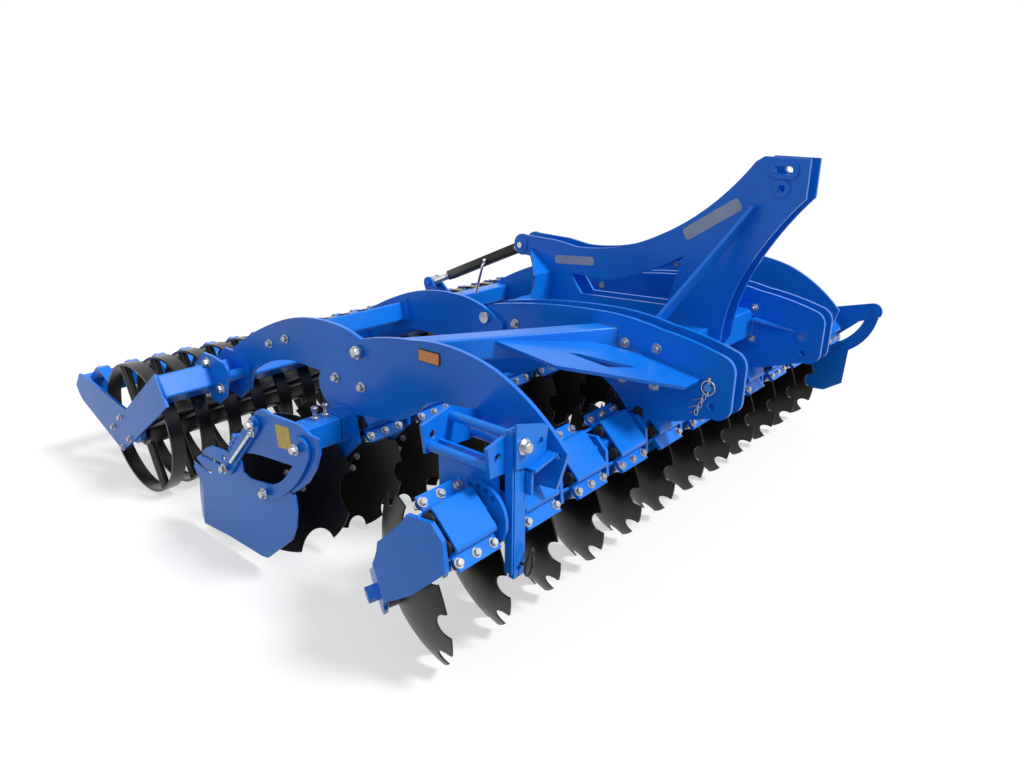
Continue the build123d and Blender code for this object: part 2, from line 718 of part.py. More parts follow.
def headstock():
    """Twin mast plates with the top-link bore, and the two braces at their front."""
    one = plate(HEAD_PATH, -HEAD_PLATE_X - HEAD_PLATE, HEAD_PLATE)
    one -= plate(WINDOW_PATH, -HEAD_PLATE_X - HEAD_PLATE, HEAD_PLATE)
    one -= square_bar(-2 * HEAD_PLATE_X, 0, *HT, HEAD_TUBE)
    outside = -HEAD_PLATE_X - HEAD_PLATE
    one += round_bar(outside - 8, outside, *TOP, 30)
    ring = Pos(outside - 4, TOP_PIN_Y, TOP_PIN_Z + 62) * Rot(0, 90, 0) * extrude(
        RectangleRounded(60, 104, 29), amount=4, both=True
    )
    slot = Pos(outside, TOP_PIN_Y, TOP_PIN_Z + 62) * Rot(0, 90, 0) * extrude(
        RectangleRounded(26, 66, 12.5), amount=40, both=True
    )
    one += ring
    one -= slot
    one -= pin_hole(-200, 0, *TOP, TOP_BORE_RADIUS)
    one += round_bar(outside - 6, outside, *SCREW, 34)
    one -= pin_hole(-200, 0, *SCREW, SCREW_PIN_RADIUS)
    nodes["headstock"] = group([one, mirrored(one)])


STRIP_TOP_Y = -380.0
STRIP_TOP_Z = 1298.0
STRIP_THICKNESS = 12.0


def head_braces():
    """Sloping strips from the mast to the ends of the head tube, and the curved plate behind."""
    _, inner = link_plate_starts()
    face = inner + PLATE + HEAD_FLANGE_THICKNESS
    outside = -HEAD_PLATE_X - HEAD_PLATE
    bottom_y = HEAD_TUBE_Y + HEAD_TUBE / 2
    bottom_z = HEAD_TUBE_Z + HEAD_TUBE / 2
    slope = Vector(0, bottom_y - STRIP_TOP_Y, bottom_z - STRIP_TOP_Z)
    length = slope.length
    normal = Vector(1, 0, 0).cross(slope).normalized()
    plane = Plane(origin=(0, STRIP_TOP_Y, STRIP_TOP_Z), x_dir=(1, 0, 0), z_dir=normal)
    flip = 1.0 if plane.y_dir.dot(slope) > 0 else -1.0
    corners = [
        (outside, 0),
        (outside, 90 * flip),
        (face + 70, length * flip),
        (face, length * flip),
        (face, (length - 60) * flip),
        (outside - 42, 0),
    ]
    strip = extrude(plane * make_face(Polyline(*corners, close=True)), amount=STRIP_THICKNESS / 2, both=True)
    strip -= square_bar(-LINK_SPAN, 0, *HT, HEAD_TUBE)
    nodes["head_braces"] = group([strip, mirrored(strip)])


REAR_BRACE_Y = 515.0
REAR_BRACE_THICKNESS = 12.0
REAR_BRACE_TOP = 945.0
REAR_BRACE_TOP_HALF = 179.0
REAR_BRACE_PEAK_Y = 636.0
REAR_BRACE_PEAK_Z = 1033.0
REAR_BRACE_PEAK_HALF = 60.0


def rear_brace():
    """Curved cross plate from the mast down to the link plates, and the sloping plate on its top edge."""
    _, inner = link_plate_starts()
    face = inner + PLATE
    top, half = REAR_BRACE_TOP, REAR_BRACE_TOP_HALF
    edges = [
        Edge.make_line((face, 0, top - 245), (face, 0, top - 165)),
        Edge.make_three_point_arc((face, 0, top - 165), (-half - 36, 0, top - 115), (-half, 0, top)),
        Edge.make_line((-half, 0, top), (half, 0, top)),
        Edge.make_three_point_arc((half, 0, top), (half + 36, 0, top - 115), (-face, 0, top - 165)),
        Edge.make_line((-face, 0, top - 165), (-face, 0, top - 245)),
        Edge.make_three_point_arc((-face, 0, top - 245), (0, 0, top - 153), (face, 0, top - 245)),
    ]
    sheet = extrude(Face(Wire(edges)), amount=REAR_BRACE_THICKNESS, dir=(0, 1, 0))
    sheet = Pos(0, REAR_BRACE_Y, 0) * sheet
    slope = Vector(0, REAR_BRACE_PEAK_Y - REAR_BRACE_Y, REAR_BRACE_PEAK_Z - top)
    normal = Vector(1, 0, 0).cross(slope).normalized()
    plane = Plane(origin=(0, REAR_BRACE_Y, top), x_dir=(1, 0, 0), z_dir=normal)
    peak = REAR_BRACE_PEAK_HALF
    corners = [(-half, 0), (half, 0), (peak, slope.length), (-peak, slope.length)]
    sheet += extrude(plane * make_face(Polyline(*corners, close=True)), amount=-REAR_BRACE_THICKNESS)
    one = plate(HEAD_PATH, -HEAD_PLATE_X - HEAD_PLATE, HEAD_PLATE)
    sheet = sheet - one - mirrored(one)
    nodes["rear_brace"] = sheet.solids().sort_by(SortBy.VOLUME)[-1]


# ---------------------------------------------------------------- stand and first arm's fittings
ADJUSTER_X = -1315.0
POST_X = -1300.0
POST_THICKNESS = 12.0
STAND_FRONT_Y = -270.0
STAND_REAR_Y = -24.0
STAND_X = -1225.0
STAND_Z = 676.0
GUIDE_WIDTH = 58.0
GUIDE_DEPTH = 26.0
GUIDE_WALL = 6.0
GUIDE_X = -1262.0
GUIDE_LOW = 362.0
GUIDE_HIGH = 800.0
LEG_CLEARANCE = 2.0
LEG_LENGTH = 420.0
LEG_LOW = 345.0


def adjuster():
    """Ear plate round the beam with the arc of angle-setting holes of the first arm."""
    ear = round_bar(ADJUSTER_X, ADJUSTER_X + POST_THICKNESS, *FB, 104)
    ear -= square_bar(ADJUSTER_X - 1, ADJUSTER_X + POST_THICKNESS + 1, *FB, BEAM)
    for angle in (70, 90, 110, 130):
        y = FRONT_BEAM_Y + 84 * math.cos(math.radians(angle))
        z = BEAM_Z + 84 * math.sin(math.radians(angle))
        ear -= pin_hole(ADJUSTER_X - 1, ADJUSTER_X + POST_THICKNESS + 1, y, z, 9)
    nodes["adjuster_plate"] = ear


def stand_bracket():
    """Two five-sided plates on a post, joined by three tubes, and the guide of the stand leg."""
    corners = [
        (STAND_X - 138, STAND_Z + 91),
        (STAND_X - 127, STAND_Z + 1),
        (-SIDE_PLATE_X, STAND_Z - 15),
        (-SIDE_PLATE_X, STAND_Z + 71),
        (STAND_X - 20, STAND_Z + 117),
    ]
    sheet = Plane.XZ * make_face(Polyline(*corners, close=True))
    bracket = None
    for y in (STAND_FRONT_Y, STAND_REAR_Y):
        one = Pos(0, y, 0) * extrude(sheet, amount=POST_THICKNESS / 2, both=True)
        one -= Pos(STAND_X - 96, y, STAND_Z + 52) * Rot(90, 0, 0) * Cylinder(14, 40)
        one -= Pos(STAND_X + 66, y, STAND_Z + 30) * Rot(90, 0, 0) * Cylinder(14, 40)
        bracket = one if bracket is None else bracket + one
    middle = (STAND_FRONT_Y + STAND_REAR_Y) / 2
    depth = STAND_REAR_Y - STAND_FRONT_Y
    for dx, dz in ((-110, 22), (-20, 88), (72, 6)):
        bracket += Pos(STAND_X + dx, middle, STAND_Z + dz) * Rot(90, 0, 0) * Cylinder(15, depth)
    post_low = BEAM_Z - BEAM_HALF - 48
    post_high = STAND_Z + 30
    post = Pos(POST_X + POST_THICKNESS / 2, middle + 6, (post_low + post_high) / 2) * Box(
        POST_THICKNESS, depth - 20, post_high - post_low
    )
    post -= square_bar(POST_X - 1, POST_X + POST_THICKNESS + 1, *FB, BEAM)
    bracket += post
    guide_y = STAND_FRONT_Y - POST_THICKNESS / 2 - GUIDE_DEPTH / 2
    height = GUIDE_HIGH - GUIDE_LOW
    guide = Box(GUIDE_WIDTH, GUIDE_DEPTH, height)
    guide -= Pos(0, -GUIDE_WALL, 0) * Box(GUIDE_WIDTH - 2 * GUIDE_WALL, GUIDE_DEPTH, height)
    bracket += Pos(GUIDE_X, guide_y, (GUIDE_LOW + GUIDE_HIGH) / 2) * guide
    nodes["stand_bracket"] = bracket


def stand_leg():
    """Flat leg that slides down in its guide."""
    width = GUIDE_WIDTH - 2 * GUIDE_WALL - 2 * LEG_CLEARANCE
    depth = GUIDE_DEPTH - GUIDE_WALL
    back_y = STAND_FRONT_Y - POST_THICKNESS / 2 - GUIDE_WALL - LEG_CLEARANCE
    leg = Pos(GUIDE_X, back_y - depth / 2, LEG_LOW + LEG_LENGTH / 2) * Box(width, depth, LEG_LENGTH)
    leg -= Pos(GUIDE_X, back_y - depth, LEG_LOW + 30) * Rot(90, 0, 0) * Cylinder(8, 4 * depth)
    nodes["stand_leg"] = leg


# ---------------------------------------------------------------- rear section
REAR_PATH = [
    near(RB, -25, 138),
    (near(RB, -155, 170), near(RB, -185, 273)),
    (near(RB, -87, 325), near(RB, 67, 355)),
    (near(RB, 234, 347), near(RB, 373, 315)),
    (near(RB, 593, 223), near(RB, 808, 94)),
    near(RB, 665, -39),
    (near(RB, 650, 11), near(RB, 614, 61)),
    (near(RB, 479, 126), near(RB, 321, 160)),
    (near(RB, 134, 155), near(RB, -25, 138)),
]


def rear_plate_starts():
    """Low x of the two rear arched plates of the left half."""
    outer, _ = link_plate_starts()
    return -SIDE_PLATE_X + PLATE + JOINT_GAP, outer - JOINT_GAP - PLATE


def rear_plates():
    """Four arched plates that carry the roller, hinged on the front plates."""
    solids = []
    for start in rear_plate_starts():
        one = plate(REAR_PATH, start, PLATE)
        one -= pin_hole(-2 * SIDE_PLATE_X, 0, PIVOT_Y, PIVOT_Z, PIVOT_RADIUS + RUNNING_FIT)
        solids += [one, mirrored(one)]
    nodes["rear_plates"] = group(solids)


CROSS_FLANGE = 12.0


def cross_tubes():
    """Square tubes between the rear plates, with flanges at their ends."""
    side, link = rear_plate_starts()
    low = side + PLATE
    tube = square_tube(low, link, CROSS_TUBE_Y, CROSS_TUBE_Z, CROSS_TUBE, BEAM_WALL, turn=-20)
    flange = Rot(-20, 0, 0) * Box(CROSS_FLANGE, CROSS_TUBE + 64, CROSS_TUBE + 16)
    tube += Pos(low + CROSS_FLANGE / 2, CROSS_TUBE_Y, CROSS_TUBE_Z) * flange
    tube += Pos(link - CROSS_FLANGE / 2, CROSS_TUBE_Y, CROSS_TUBE_Z) * flange
    nodes["cross_tubes"] = group([tube, mirrored(tube)])


CLEVIS_INNER = 23.0
CLEVIS_PLATE = 12.0


def screw_clevis():
    """Middle tube of the rear section with the two ears that hold the turnbuckle."""
    _, link = rear_plate_starts()
    low = link + PLATE
    tube = square_tube(low, -low, CENTRE_TUBE_Y, CENTRE_TUBE_Z, CROSS_TUBE, BEAM_WALL)
    pin = (SCREW_BOTTOM_Y, SCREW_BOTTOM_Z)
    ct = (CENTRE_TUBE_Y, CENTRE_TUBE_Z)
    half = CROSS_TUBE / 2
    path = [
        near(ct, -half, half),
        near(pin, -32, 6),
        (near(pin, 0, 32), near(pin, 30, -10)),
        near(ct, half + 30, 0),
        near(ct, half, -half),
        near(ct, half, half),
    ]
    for start in (-CLEVIS_INNER - CLEVIS_PLATE, CLEVIS_INNER):
        tube += plate(path, start, CLEVIS_PLATE)
    outside = CLEVIS_INNER + CLEVIS_PLATE
    tube += round_bar(-outside - 12, outside + 12, *pin, SCREW_PIN_RADIUS)
    nodes["screw_clevis"] = tube


def roller_tubes():
    """Front tube of the roller frame, set on its edge."""
    half = ROLLER_FRAME_HALF
    nodes["roller_front_tube"] = square_tube(
        -half, half, ROLLER_TUBE_Y, ROLLER_TUBE_Z, ROLLER_TUBE, BEAM_WALL, turn=ROLLER_TUBE_TURN
    )


RT = (ROLLER_TUBE_Y, ROLLER_TUBE_Z)
ROLLER_Z = ROLLER_RADIUS
RC = (ROLLER_Y, ROLLER_Z)
ST = (SCRAPER_TUBE_Y, SCRAPER_TUBE_Z)

ROLLER_END_PATH = [
    near(RT, -10, 74),
    near(RT, -80, -47),
    near(RC, -7, -44),
    near(RC, 125, -134),
    near(ST, 40, -82),
    (near(ST, 78, -42), near(ST, 90, -14)),
    near(ST, 33, 52),
    near(ST, -15, 52),
    near(RC, 29, 89),
]
BEARING_SKIN = 4.0


def roller_ends():
    """End plates of the roller frame with the shaft bearings on their inner faces."""
    low = -ROLLER_FRAME_HALF - ROLLER_PLATE
    end = plate(ROLLER_END_PATH, low, ROLLER_PLATE)
    end += round_bar(-ROLLER_FRAME_HALF - 1, -ROLLER_FRAME_HALF + BEARING_WIDTH, *RC, BEARING_RADIUS)
    end -= round_bar(low + BEARING_SKIN, -ROLLER_FRAME_HALF + BEARING_WIDTH + 1, *RC, SHAFT_RADIUS + RUNNING_FIT)
    nodes["roller_ends"] = group([end, mirrored(end)])


def ring_xs():
    """x of every ring of the roller."""
    first = -RING_PITCH * (RINGS - 1) / 2
    return [first + RING_PITCH * i for i in range(RINGS)]


def roller():
    """Cage roller: flat rings on round spokes round a hollow axle."""
    end = RING_PITCH * (RINGS - 1) / 2 + RING_WIDTH / 4
    tube = round_bar(-end, end, 0, 0, ROLLER_TUBE_RADIUS)
    bore = round_bar(-end + 12, end - 12, 0, 0, ROLLER_TUBE_RADIUS - 8)
    shaft_end = ROLLER_FRAME_HALF + ROLLER_PLATE / 2
    stubs = [round_bar(-shaft_end, -end, 0, 0, SHAFT_RADIUS), round_bar(end, shaft_end, 0, 0, SHAFT_RADIUS)]
    half = RING_WIDTH / 2
    ring = round_bar(-half, half, 0, 0, ROLLER_RADIUS)
    ring -= round_bar(-half, half, 0, 0, ROLLER_RADIUS - RING_THICKNESS)
    inner = ROLLER_TUBE_RADIUS - 4
    outer = ROLLER_RADIUS - RING_THICKNESS / 2
    spokes = []
    for angle in SPOKE_ANGLES:
        bar = Pos(0, 0, (inner + outer) / 2) * Cylinder(SPOKE_RADIUS, outer - inner)
        spokes.append(Rot(angle - 90, 0, 0) * bar)
    wheel = ring + spokes
    wheels = [Pos(x, 0, 0) * wheel for x in ring_xs()]
    whole = (tube + wheels + stubs) - bore
    nodes["roller"] = Pos(0, *RC) * whole


SCRAPER_WIDTH = 50.0
SCRAPER_THICKNESS = 8.0
SCRAPER_GAP = 6.0


def scraper_bar():
    """Rear tube of the roller frame with a scraper over every ring."""
    half = ROLLER_FRAME_HALF
    bar = square_tube(-half, half, *ST, SCRAPER_TUBE, BEAM_WALL, turn=SCRAPER_TUBE_TURN)
    aim = math.radians(31)
    reach = ROLLER_RADIUS + SCRAPER_GAP
    tip = (ROLLER_Y + reach * math.cos(aim), ROLLER_Z + reach * math.sin(aim))
    ear = near(ST, -108, 100)
    root = near(ST, -10, 44)
    t = SCRAPER_THICKNESS
    path = [tip, ear, near(ear, 24, 0), root, near(ST, 10, 30), near(root, -40, -10), near(ear, -2, -t * 2)]
    finger = plate(path, -SCRAPER_WIDTH / 2, SCRAPER_WIDTH)
    bar = bar + [Pos(x, 0, 0) * finger for x in ring_xs()]
    inner = square_bar(-half - 1, half + 1, *ST, SCRAPER_TUBE - 2 * BEAM_WALL, turn=SCRAPER_TUBE_TURN)
    nodes["scraper_bar"] = bar - inner


BRACKET_OUT = 110.0
BRACKET_PLATE = 12.0

BRACKET_PATH = [
    near(RT, -75, -97),
    near(RT, -135, -49),
    near(RT, -159, 30),
    (near(RT, -168, 70), near(RT, -130, 98)),
    near(RT, -60, 109),
    near(RT, 11, 109),
    near(RT, 96, 44),
    near(RT, 42, -72),
]


def roller_brackets():
    """Ear plates on the roller frame's front tube, with the boss that ties them to each rear plate."""
    side, link = rear_plate_starts()
    tube = square_bar(-2 * ROLLER_FRAME_HALF, 0, *RT, ROLLER_TUBE, turn=ROLLER_TUBE_TURN)
    solids = []
    for face in (side, link):
        bracket = plate(BRACKET_PATH, face - BRACKET_OUT, BRACKET_PLATE)
        bracket += plate(BRACKET_PATH, face - BRACKET_PLATE, BRACKET_PLATE)
        bracket += round_bar(face - BRACKET_OUT, face - 1, *near(RT, -125, 30), 22)
        bracket -= tube
        solids += [bracket, mirrored(bracket)]
    nodes["roller_brackets"] = group(solids)


# ---------------------------------------------------------------- turnbuckle
SCREW_EYE_RADIUS = 30.0
SCREW_EYE_WIDTH = 40.0
SCREW_TUBE_RADIUS = 21.0
SCREW_ROD_RADIUS = 15.0
SCREW_TUBE_START = 45.0
SCREW_TUBE_END = 530.0
SCREW_EYE_PLAY = 7.0


def turnbuckle():
    """Turnbuckle between the mast and the rear section: threaded tube, and the rod that slides in it."""
    top = Vector(0, *SCREW)
    bottom = Vector(0, SCREW_BOTTOM_Y, SCREW_BOTTOM_Z)
    run = bottom - top
    plane = Plane(origin=top, x_dir=(1, 0, 0), z_dir=run)
    half = SCREW_EYE_WIDTH / 2
    eye = round_bar(-half, half, *SCREW, SCREW_EYE_RADIUS)
    neck_length = SCREW_TUBE_START
    body = eye + plane * Pos(0, 0, neck_length / 2 + 5) * Cylinder(SCREW_ROD_RADIUS, neck_length + 10)
    length = SCREW_TUBE_END - SCREW_TUBE_START
    tube = Pos(0, 0, SCREW_TUBE_START + length / 2) * Cylinder(SCREW_TUBE_RADIUS, length)
    bore_start = SCREW_TUBE_START + length / 2
    bore_length = SCREW_TUBE_END - bore_start
    bore = Pos(0, 0, bore_start + bore_length / 2) * Cylinder(SCREW_ROD_RADIUS + RUNNING_FIT, bore_length)
    body += plane * tube
    body -= plane * bore
    body -= pin_hole(-50, 50, *SCREW, SCREW_PIN_RADIUS + RUNNING_FIT)
    nodes["turnbuckle_tube"] = body
    rod_start = bore_start + 100
    rod_length = run.length - rod_start
    rod = plane * Pos(0, 0, rod_start + rod_length / 2) * Cylinder(SCREW_ROD_RADIUS, rod_length)
    rod += round_bar(-half, half, SCREW_BOTTOM_Y, SCREW_BOTTOM_Z, SCREW_EYE_RADIUS)
    rod -= pin_hole(-50, 50, SCREW_BOTTOM_Y, SCREW_BOTTOM_Z, SCREW_PIN_RADIUS + SCREW_EYE_PLAY)
    nodes["turnbuckle_rod"] = rod


# ---------------------------------------------------------------- side deflectors
SLEEVE = BEAM + 2 * SLEEVE_CLEARANCE + 2 * SLEEVE_WALL
NEAR_PLATE_X = -1440.0
NEAR_SLEEVE_END = -1190.0
DEFLECTOR_BRACKET = 12.0
DEFLECTOR_SHEET = 6.0
LINK_THICKNESS = 10.0
LINK_SIDE_GAP = 2.0
LINK_WIDTH = 56.0
LINK_PIN_RADIUS = 10.0
LINK_PIN_PLAY = 0.5
NEAR_LINK_ANGLE = -47.0
FAR_LINK_ANGLE = -59.0
FAR_LINK_LENGTH = 259.0
FAR_PLATE_X = 1530.0
FAR_SLEEVE_START = 1455.0

NEAR_LEAD = near(RB, 83, 67)
NEAR_FOLLOW = near(RB, -170, 53)
FAR_LEAD = near(FB, -220, 93)
FAR_FOLLOW = near(FB, -60, 63)


def link_end(pivot, length, angle):
    """Lower end of a deflector link."""
    turn = math.radians(angle)
    return near(pivot, length * math.cos(turn), length * math.sin(turn))


NEAR_BRACKET_PATH = [
    near(NEAR_FOLLOW, -55, 48),
    (near(NEAR_FOLLOW, -30, 66), near(NEAR_FOLLOW, 21, 75)),
    near(NEAR_LEAD, -82, 55),
    (near(NEAR_LEAD, 0, 42), near(NEAR_LEAD, 30, -10)),
    near(NEAR_LEAD, 52, -70),
    near(NEAR_LEAD, 92, -68),
    near(NEAR_LEAD, 125, -72),
    near(NEAR_LEAD, 191, -120),
    (near(NEAR_LEAD, 200, -150), near(NEAR_LEAD, 170, -160)),
    (near(NEAR_LEAD, 100, -140), near(NEAR_LEAD, 41, -125)),
    near(NEAR_LEAD, 0, -118),
    near(NEAR_FOLLOW, 48, -82),
    near(NEAR_FOLLOW, -20, -60),
    (near(NEAR_FOLLOW, -66, -10), near(NEAR_FOLLOW, -55, 48)),
]

NEAR_LEAD_END = link_end(NEAR_LEAD, LINK_LENGTH, NEAR_LINK_ANGLE)
NEAR_FOLLOW_END = link_end(NEAR_FOLLOW, LINK_LENGTH, NEAR_LINK_ANGLE)

NEAR_SHEET_PATH = [
    near(NEAR_FOLLOW_END, -150, 36),
    near(NEAR_LEAD_END, -25, 14),
    near(NEAR_LEAD_END, 0, 62),
    near(NEAR_LEAD_END, 102, 62),
    near(NEAR_LEAD_END, 198, 14),
    near(NEAR_LEAD_END, 239, -22),
    near(NEAR_LEAD_END, 258, -60),
    near(NEAR_LEAD_END, 262, -240),
    near(NEAR_LEAD_END, 262, -322),
    near(NEAR_LEAD_END, -171, -310),
    near(NEAR_FOLLOW_END, -106, -140),
    near(NEAR_FOLLOW_END, -150, 0),
]


def straight_link(pivot, end):
    """Straight flat link with round ends, with its low face at x = 0."""
    length = math.dist(pivot, end)
    angle = math.degrees(math.atan2(end[1] - pivot[1], end[0] - pivot[0]))
    bar = SlotCenterToCenter(length, LINK_WIDTH)
    bar = extrude(Plane.YZ * Pos(length / 2, 0, 0) * bar, amount=LINK_THICKNESS)
    return Pos(0, *pivot) * Rot(angle, 0, 0) * bar


def side_link(bar, pivot, end, plate_low, side):
    """Flat link with its two pins, on the outer face of a bracket whose low x is given."""
    if side < 0:
        low = plate_low - LINK_SIDE_GAP - LINK_THICKNESS
        pin_low, pin_high = low - 12, plate_low + DEFLECTOR_BRACKET + 6
    else:
        low = plate_low + DEFLECTOR_BRACKET + LINK_SIDE_GAP
        pin_low, pin_high = plate_low - 6, low + LINK_THICKNESS + 12
    link = Pos(low, 0, 0) * bar
    link += round_bar(pin_low, pin_high, *pivot, LINK_PIN_RADIUS)
    link += round_bar(pin_low, pin_high, *end, LINK_PIN_RADIUS)
    return link


def link_holes(points, low_x, high_x):
    """Holes for the link pins through a plate."""
    return [round_bar(low_x - 1, high_x + 1, *point, LINK_PIN_RADIUS + LINK_PIN_PLAY) for point in points]


def sleeve_tube(low_x, high_x, anchor):
    """Square sleeve that slides on the end of a beam."""
    bend = BEAM_CORNER
    section = RectangleRounded(SLEEVE, SLEEVE, bend) - RectangleRounded(
        BEAM + 2 * SLEEVE_CLEARANCE, BEAM + 2 * SLEEVE_CLEARANCE, bend - SLEEVE_WALL / 2
    )
    return Pos(low_x, *anchor) * extrude(Plane.YZ * section, amount=high_x - low_x)


# sickle-shaped links
NEAR_FOLLOW_PATH = [
    near(NEAR_FOLLOW, -23, 40),
    (near(NEAR_FOLLOW, -52, 12), near(NEAR_FOLLOW, -45, -33)),
    (near(NEAR_FOLLOW, 46, -151), near(NEAR_FOLLOW_END, -2, -27)),
    (near(NEAR_FOLLOW_END, 44, -22), near(NEAR_FOLLOW_END, 42, 3)),
    near(NEAR_FOLLOW_END, 8, 26),
    (near(NEAR_FOLLOW_END, -100, 77), near(NEAR_FOLLOW_END, -159, 140)),
    (near(NEAR_FOLLOW, 29, -38), near(NEAR_FOLLOW, 37, -9)),
    (near(NEAR_FOLLOW, 23, 29), near(NEAR_FOLLOW, -23, 40)),
]


def near_deflector():
    """Side deflector at the left end of the rear beam: sleeve, two links and the sheet they carry."""
    low = NEAR_PLATE_X
    high = low + DEFLECTOR_BRACKET
    bracket = plate(NEAR_BRACKET_PATH, low, DEFLECTOR_BRACKET)
    for hole in link_holes([NEAR_LEAD, NEAR_FOLLOW], low, high):
        bracket -= hole
    nodes["deflector_left_arm"] = bracket + sleeve_tube(high - 1, NEAR_SLEEVE_END, RB)
    nodes["deflector_left_lead"] = side_link(
        straight_link(NEAR_LEAD, NEAR_LEAD_END), NEAR_LEAD, NEAR_LEAD_END, low, -1
    )
    sickle = plate(NEAR_FOLLOW_PATH, 0, LINK_THICKNESS)
    nodes["deflector_left_follow"] = side_link(sickle, NEAR_FOLLOW, NEAR_FOLLOW_END, low, -1)
    sheet = plate(NEAR_SHEET_PATH, low, DEFLECTOR_SHEET)
    for hole in link_holes([NEAR_LEAD_END, NEAR_FOLLOW_END], low, low + DEFLECTOR_SHEET):
        sheet -= hole
    nodes["deflector_left_sheet"] = sheet


FAR_LEAD_END = link_end(FAR_LEAD, FAR_LINK_LENGTH, FAR_LINK_ANGLE)
FAR_FOLLOW_END = link_end(FAR_FOLLOW, FAR_LINK_LENGTH, FAR_LINK_ANGLE)

FAR_LINK_PATH = [
    near(FAR_LEAD, -28, -13),
    (near(FAR_LEAD, 11, -143), near(FAR_LEAD_END, 13, -35)),
    (near(FAR_LEAD_END, 40, -16), near(FAR_LEAD_END, 21, 29)),
    (near(FAR_LEAD_END, -57, 99), near(FAR_LEAD, 30, -13)),
    (near(FAR_LEAD, 4, 32), near(FAR_LEAD, -28, -13)),
]

FAR_BRACKET_PATH = [
    near(FAR_LEAD, -40, -20),
    (near(FAR_LEAD, -35, 30), near(FAR_LEAD, 15, 45)),
    near(FAR_FOLLOW, 30, 30),
    near(FB, 60, 60),
    near(FB, 60, -60),
    near(FB, -60, -60),
    near(FAR_LEAD, 60, -60),
]

FAR_SHEET_PATH = [
    near(FAR_LEAD_END, -40, 20),
    near(FAR_LEAD_END, 0, 40),
    near(FAR_FOLLOW_END, 20, 10),
    near(FAR_FOLLOW_END, 85, -50),
    near(FAR_FOLLOW_END, 40, -240),
    near(FAR_LEAD_END, 60, -260),
    near(FAR_LEAD_END, -30, -200),
]


def far_deflector():
    """Smaller side deflector at the right end of the front beam."""
    low = FAR_PLATE_X
    high = low + DEFLECTOR_BRACKET
    bracket = plate(FAR_BRACKET_PATH, low, DEFLECTOR_BRACKET)
    for hole in link_holes([FAR_LEAD, FAR_FOLLOW], low, high):
        bracket -= hole
    nodes["deflector_right_arm"] = bracket + sleeve_tube(FAR_SLEEVE_START, low + 1, FB)
    sickle = plate(FAR_LINK_PATH, 0, LINK_THICKNESS)
    nodes["deflector_right_lead"] = side_link(sickle, FAR_LEAD, FAR_LEAD_END, low, 1)
    straight = straight_link(FAR_FOLLOW, FAR_FOLLOW_END)
    nodes["deflector_right_follow"] = side_link(straight, FAR_FOLLOW, FAR_FOLLOW_END, low, 1)
    sheet = plate(FAR_SHEET_PATH, high - DEFLECTOR_SHEET, DEFLECTOR_SHEET)
    for hole in link_holes([FAR_LEAD_END, FAR_FOLLOW_END], high - DEFLECTOR_SHEET, high):
        sheet -= hole
    nodes["deflector_right_sheet"] = sheet


# ---------------------------------------------------------------- build and write
def build():
    """Make every node."""
    beams()
    side_plates()
    link_plates()
    pins()
    disc_rows()
    brace_tubes()
    head_tube()
    headstock()
    head_braces()
    rear_brace()
    adjuster()
    stand_bracket()
    stand_leg()
    rear_plates()
    cross_tubes()
    screw_clevis()
    roller_tubes()
    roller_ends()
    roller()
    scraper_bar()
    roller_brackets()
    turnbuckle()
    near_deflector()
    far_deflector()


def write():
    """Move everything over the origin and write one file per node."""
    boxes = [shape.bounding_box() for shape in nodes.values()]
    low = [min(getattr(box.min, axis) for box in boxes) for axis in "XYZ"]
    high = [max(getattr(box.max, axis) for box in boxes) for axis in "XYZ"]
    shift = Pos(-(low[0] + high[0]) / 2, -(low[1] + high[1]) / 2, -low[2])
    print("size", [round(b - a, 1) for a, b in zip(low, high)], "shift", shift.position)
    for name, shape in nodes.items():
        export_step(shift * shape, f"parts/{name}.step")


build()
write()
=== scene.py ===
"""Looks of the disc harrow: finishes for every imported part, fasteners, welds and trim, light and camera.

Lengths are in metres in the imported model's frame: X across the working width, Y away from the tractor, Z up.
Each sub-assembly is a class that works out its surfaces as whole numpy arrays and rides on the body it is
fixed to.
"""
import json
import logging
import math
from dataclasses import dataclass, field
from enum import Enum

import bpy
import numpy as np
from mathutils import Matrix, Vector
from mathutils.geometry import tessellate_polygon


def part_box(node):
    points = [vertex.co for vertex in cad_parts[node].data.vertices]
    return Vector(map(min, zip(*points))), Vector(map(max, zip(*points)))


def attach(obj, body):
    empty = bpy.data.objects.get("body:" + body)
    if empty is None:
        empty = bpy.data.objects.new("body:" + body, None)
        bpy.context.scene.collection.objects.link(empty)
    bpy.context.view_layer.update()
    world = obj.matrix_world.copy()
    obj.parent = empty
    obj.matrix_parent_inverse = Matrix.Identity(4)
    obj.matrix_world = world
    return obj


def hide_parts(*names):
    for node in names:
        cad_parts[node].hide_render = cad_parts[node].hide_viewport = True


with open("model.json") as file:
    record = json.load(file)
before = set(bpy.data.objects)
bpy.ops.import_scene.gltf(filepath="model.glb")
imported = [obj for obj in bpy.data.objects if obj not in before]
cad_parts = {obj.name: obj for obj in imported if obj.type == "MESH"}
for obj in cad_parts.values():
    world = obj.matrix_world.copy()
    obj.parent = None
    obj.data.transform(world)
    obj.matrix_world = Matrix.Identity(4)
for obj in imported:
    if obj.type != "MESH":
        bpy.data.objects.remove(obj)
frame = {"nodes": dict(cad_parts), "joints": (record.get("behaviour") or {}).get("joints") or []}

LOG = logging.getLogger("disc_harrow")
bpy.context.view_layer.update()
TAU = 2.0 * math.pi
Point = tuple[float, float]
Place = tuple[float, float, float]
Outline = tuple[Point, ...]


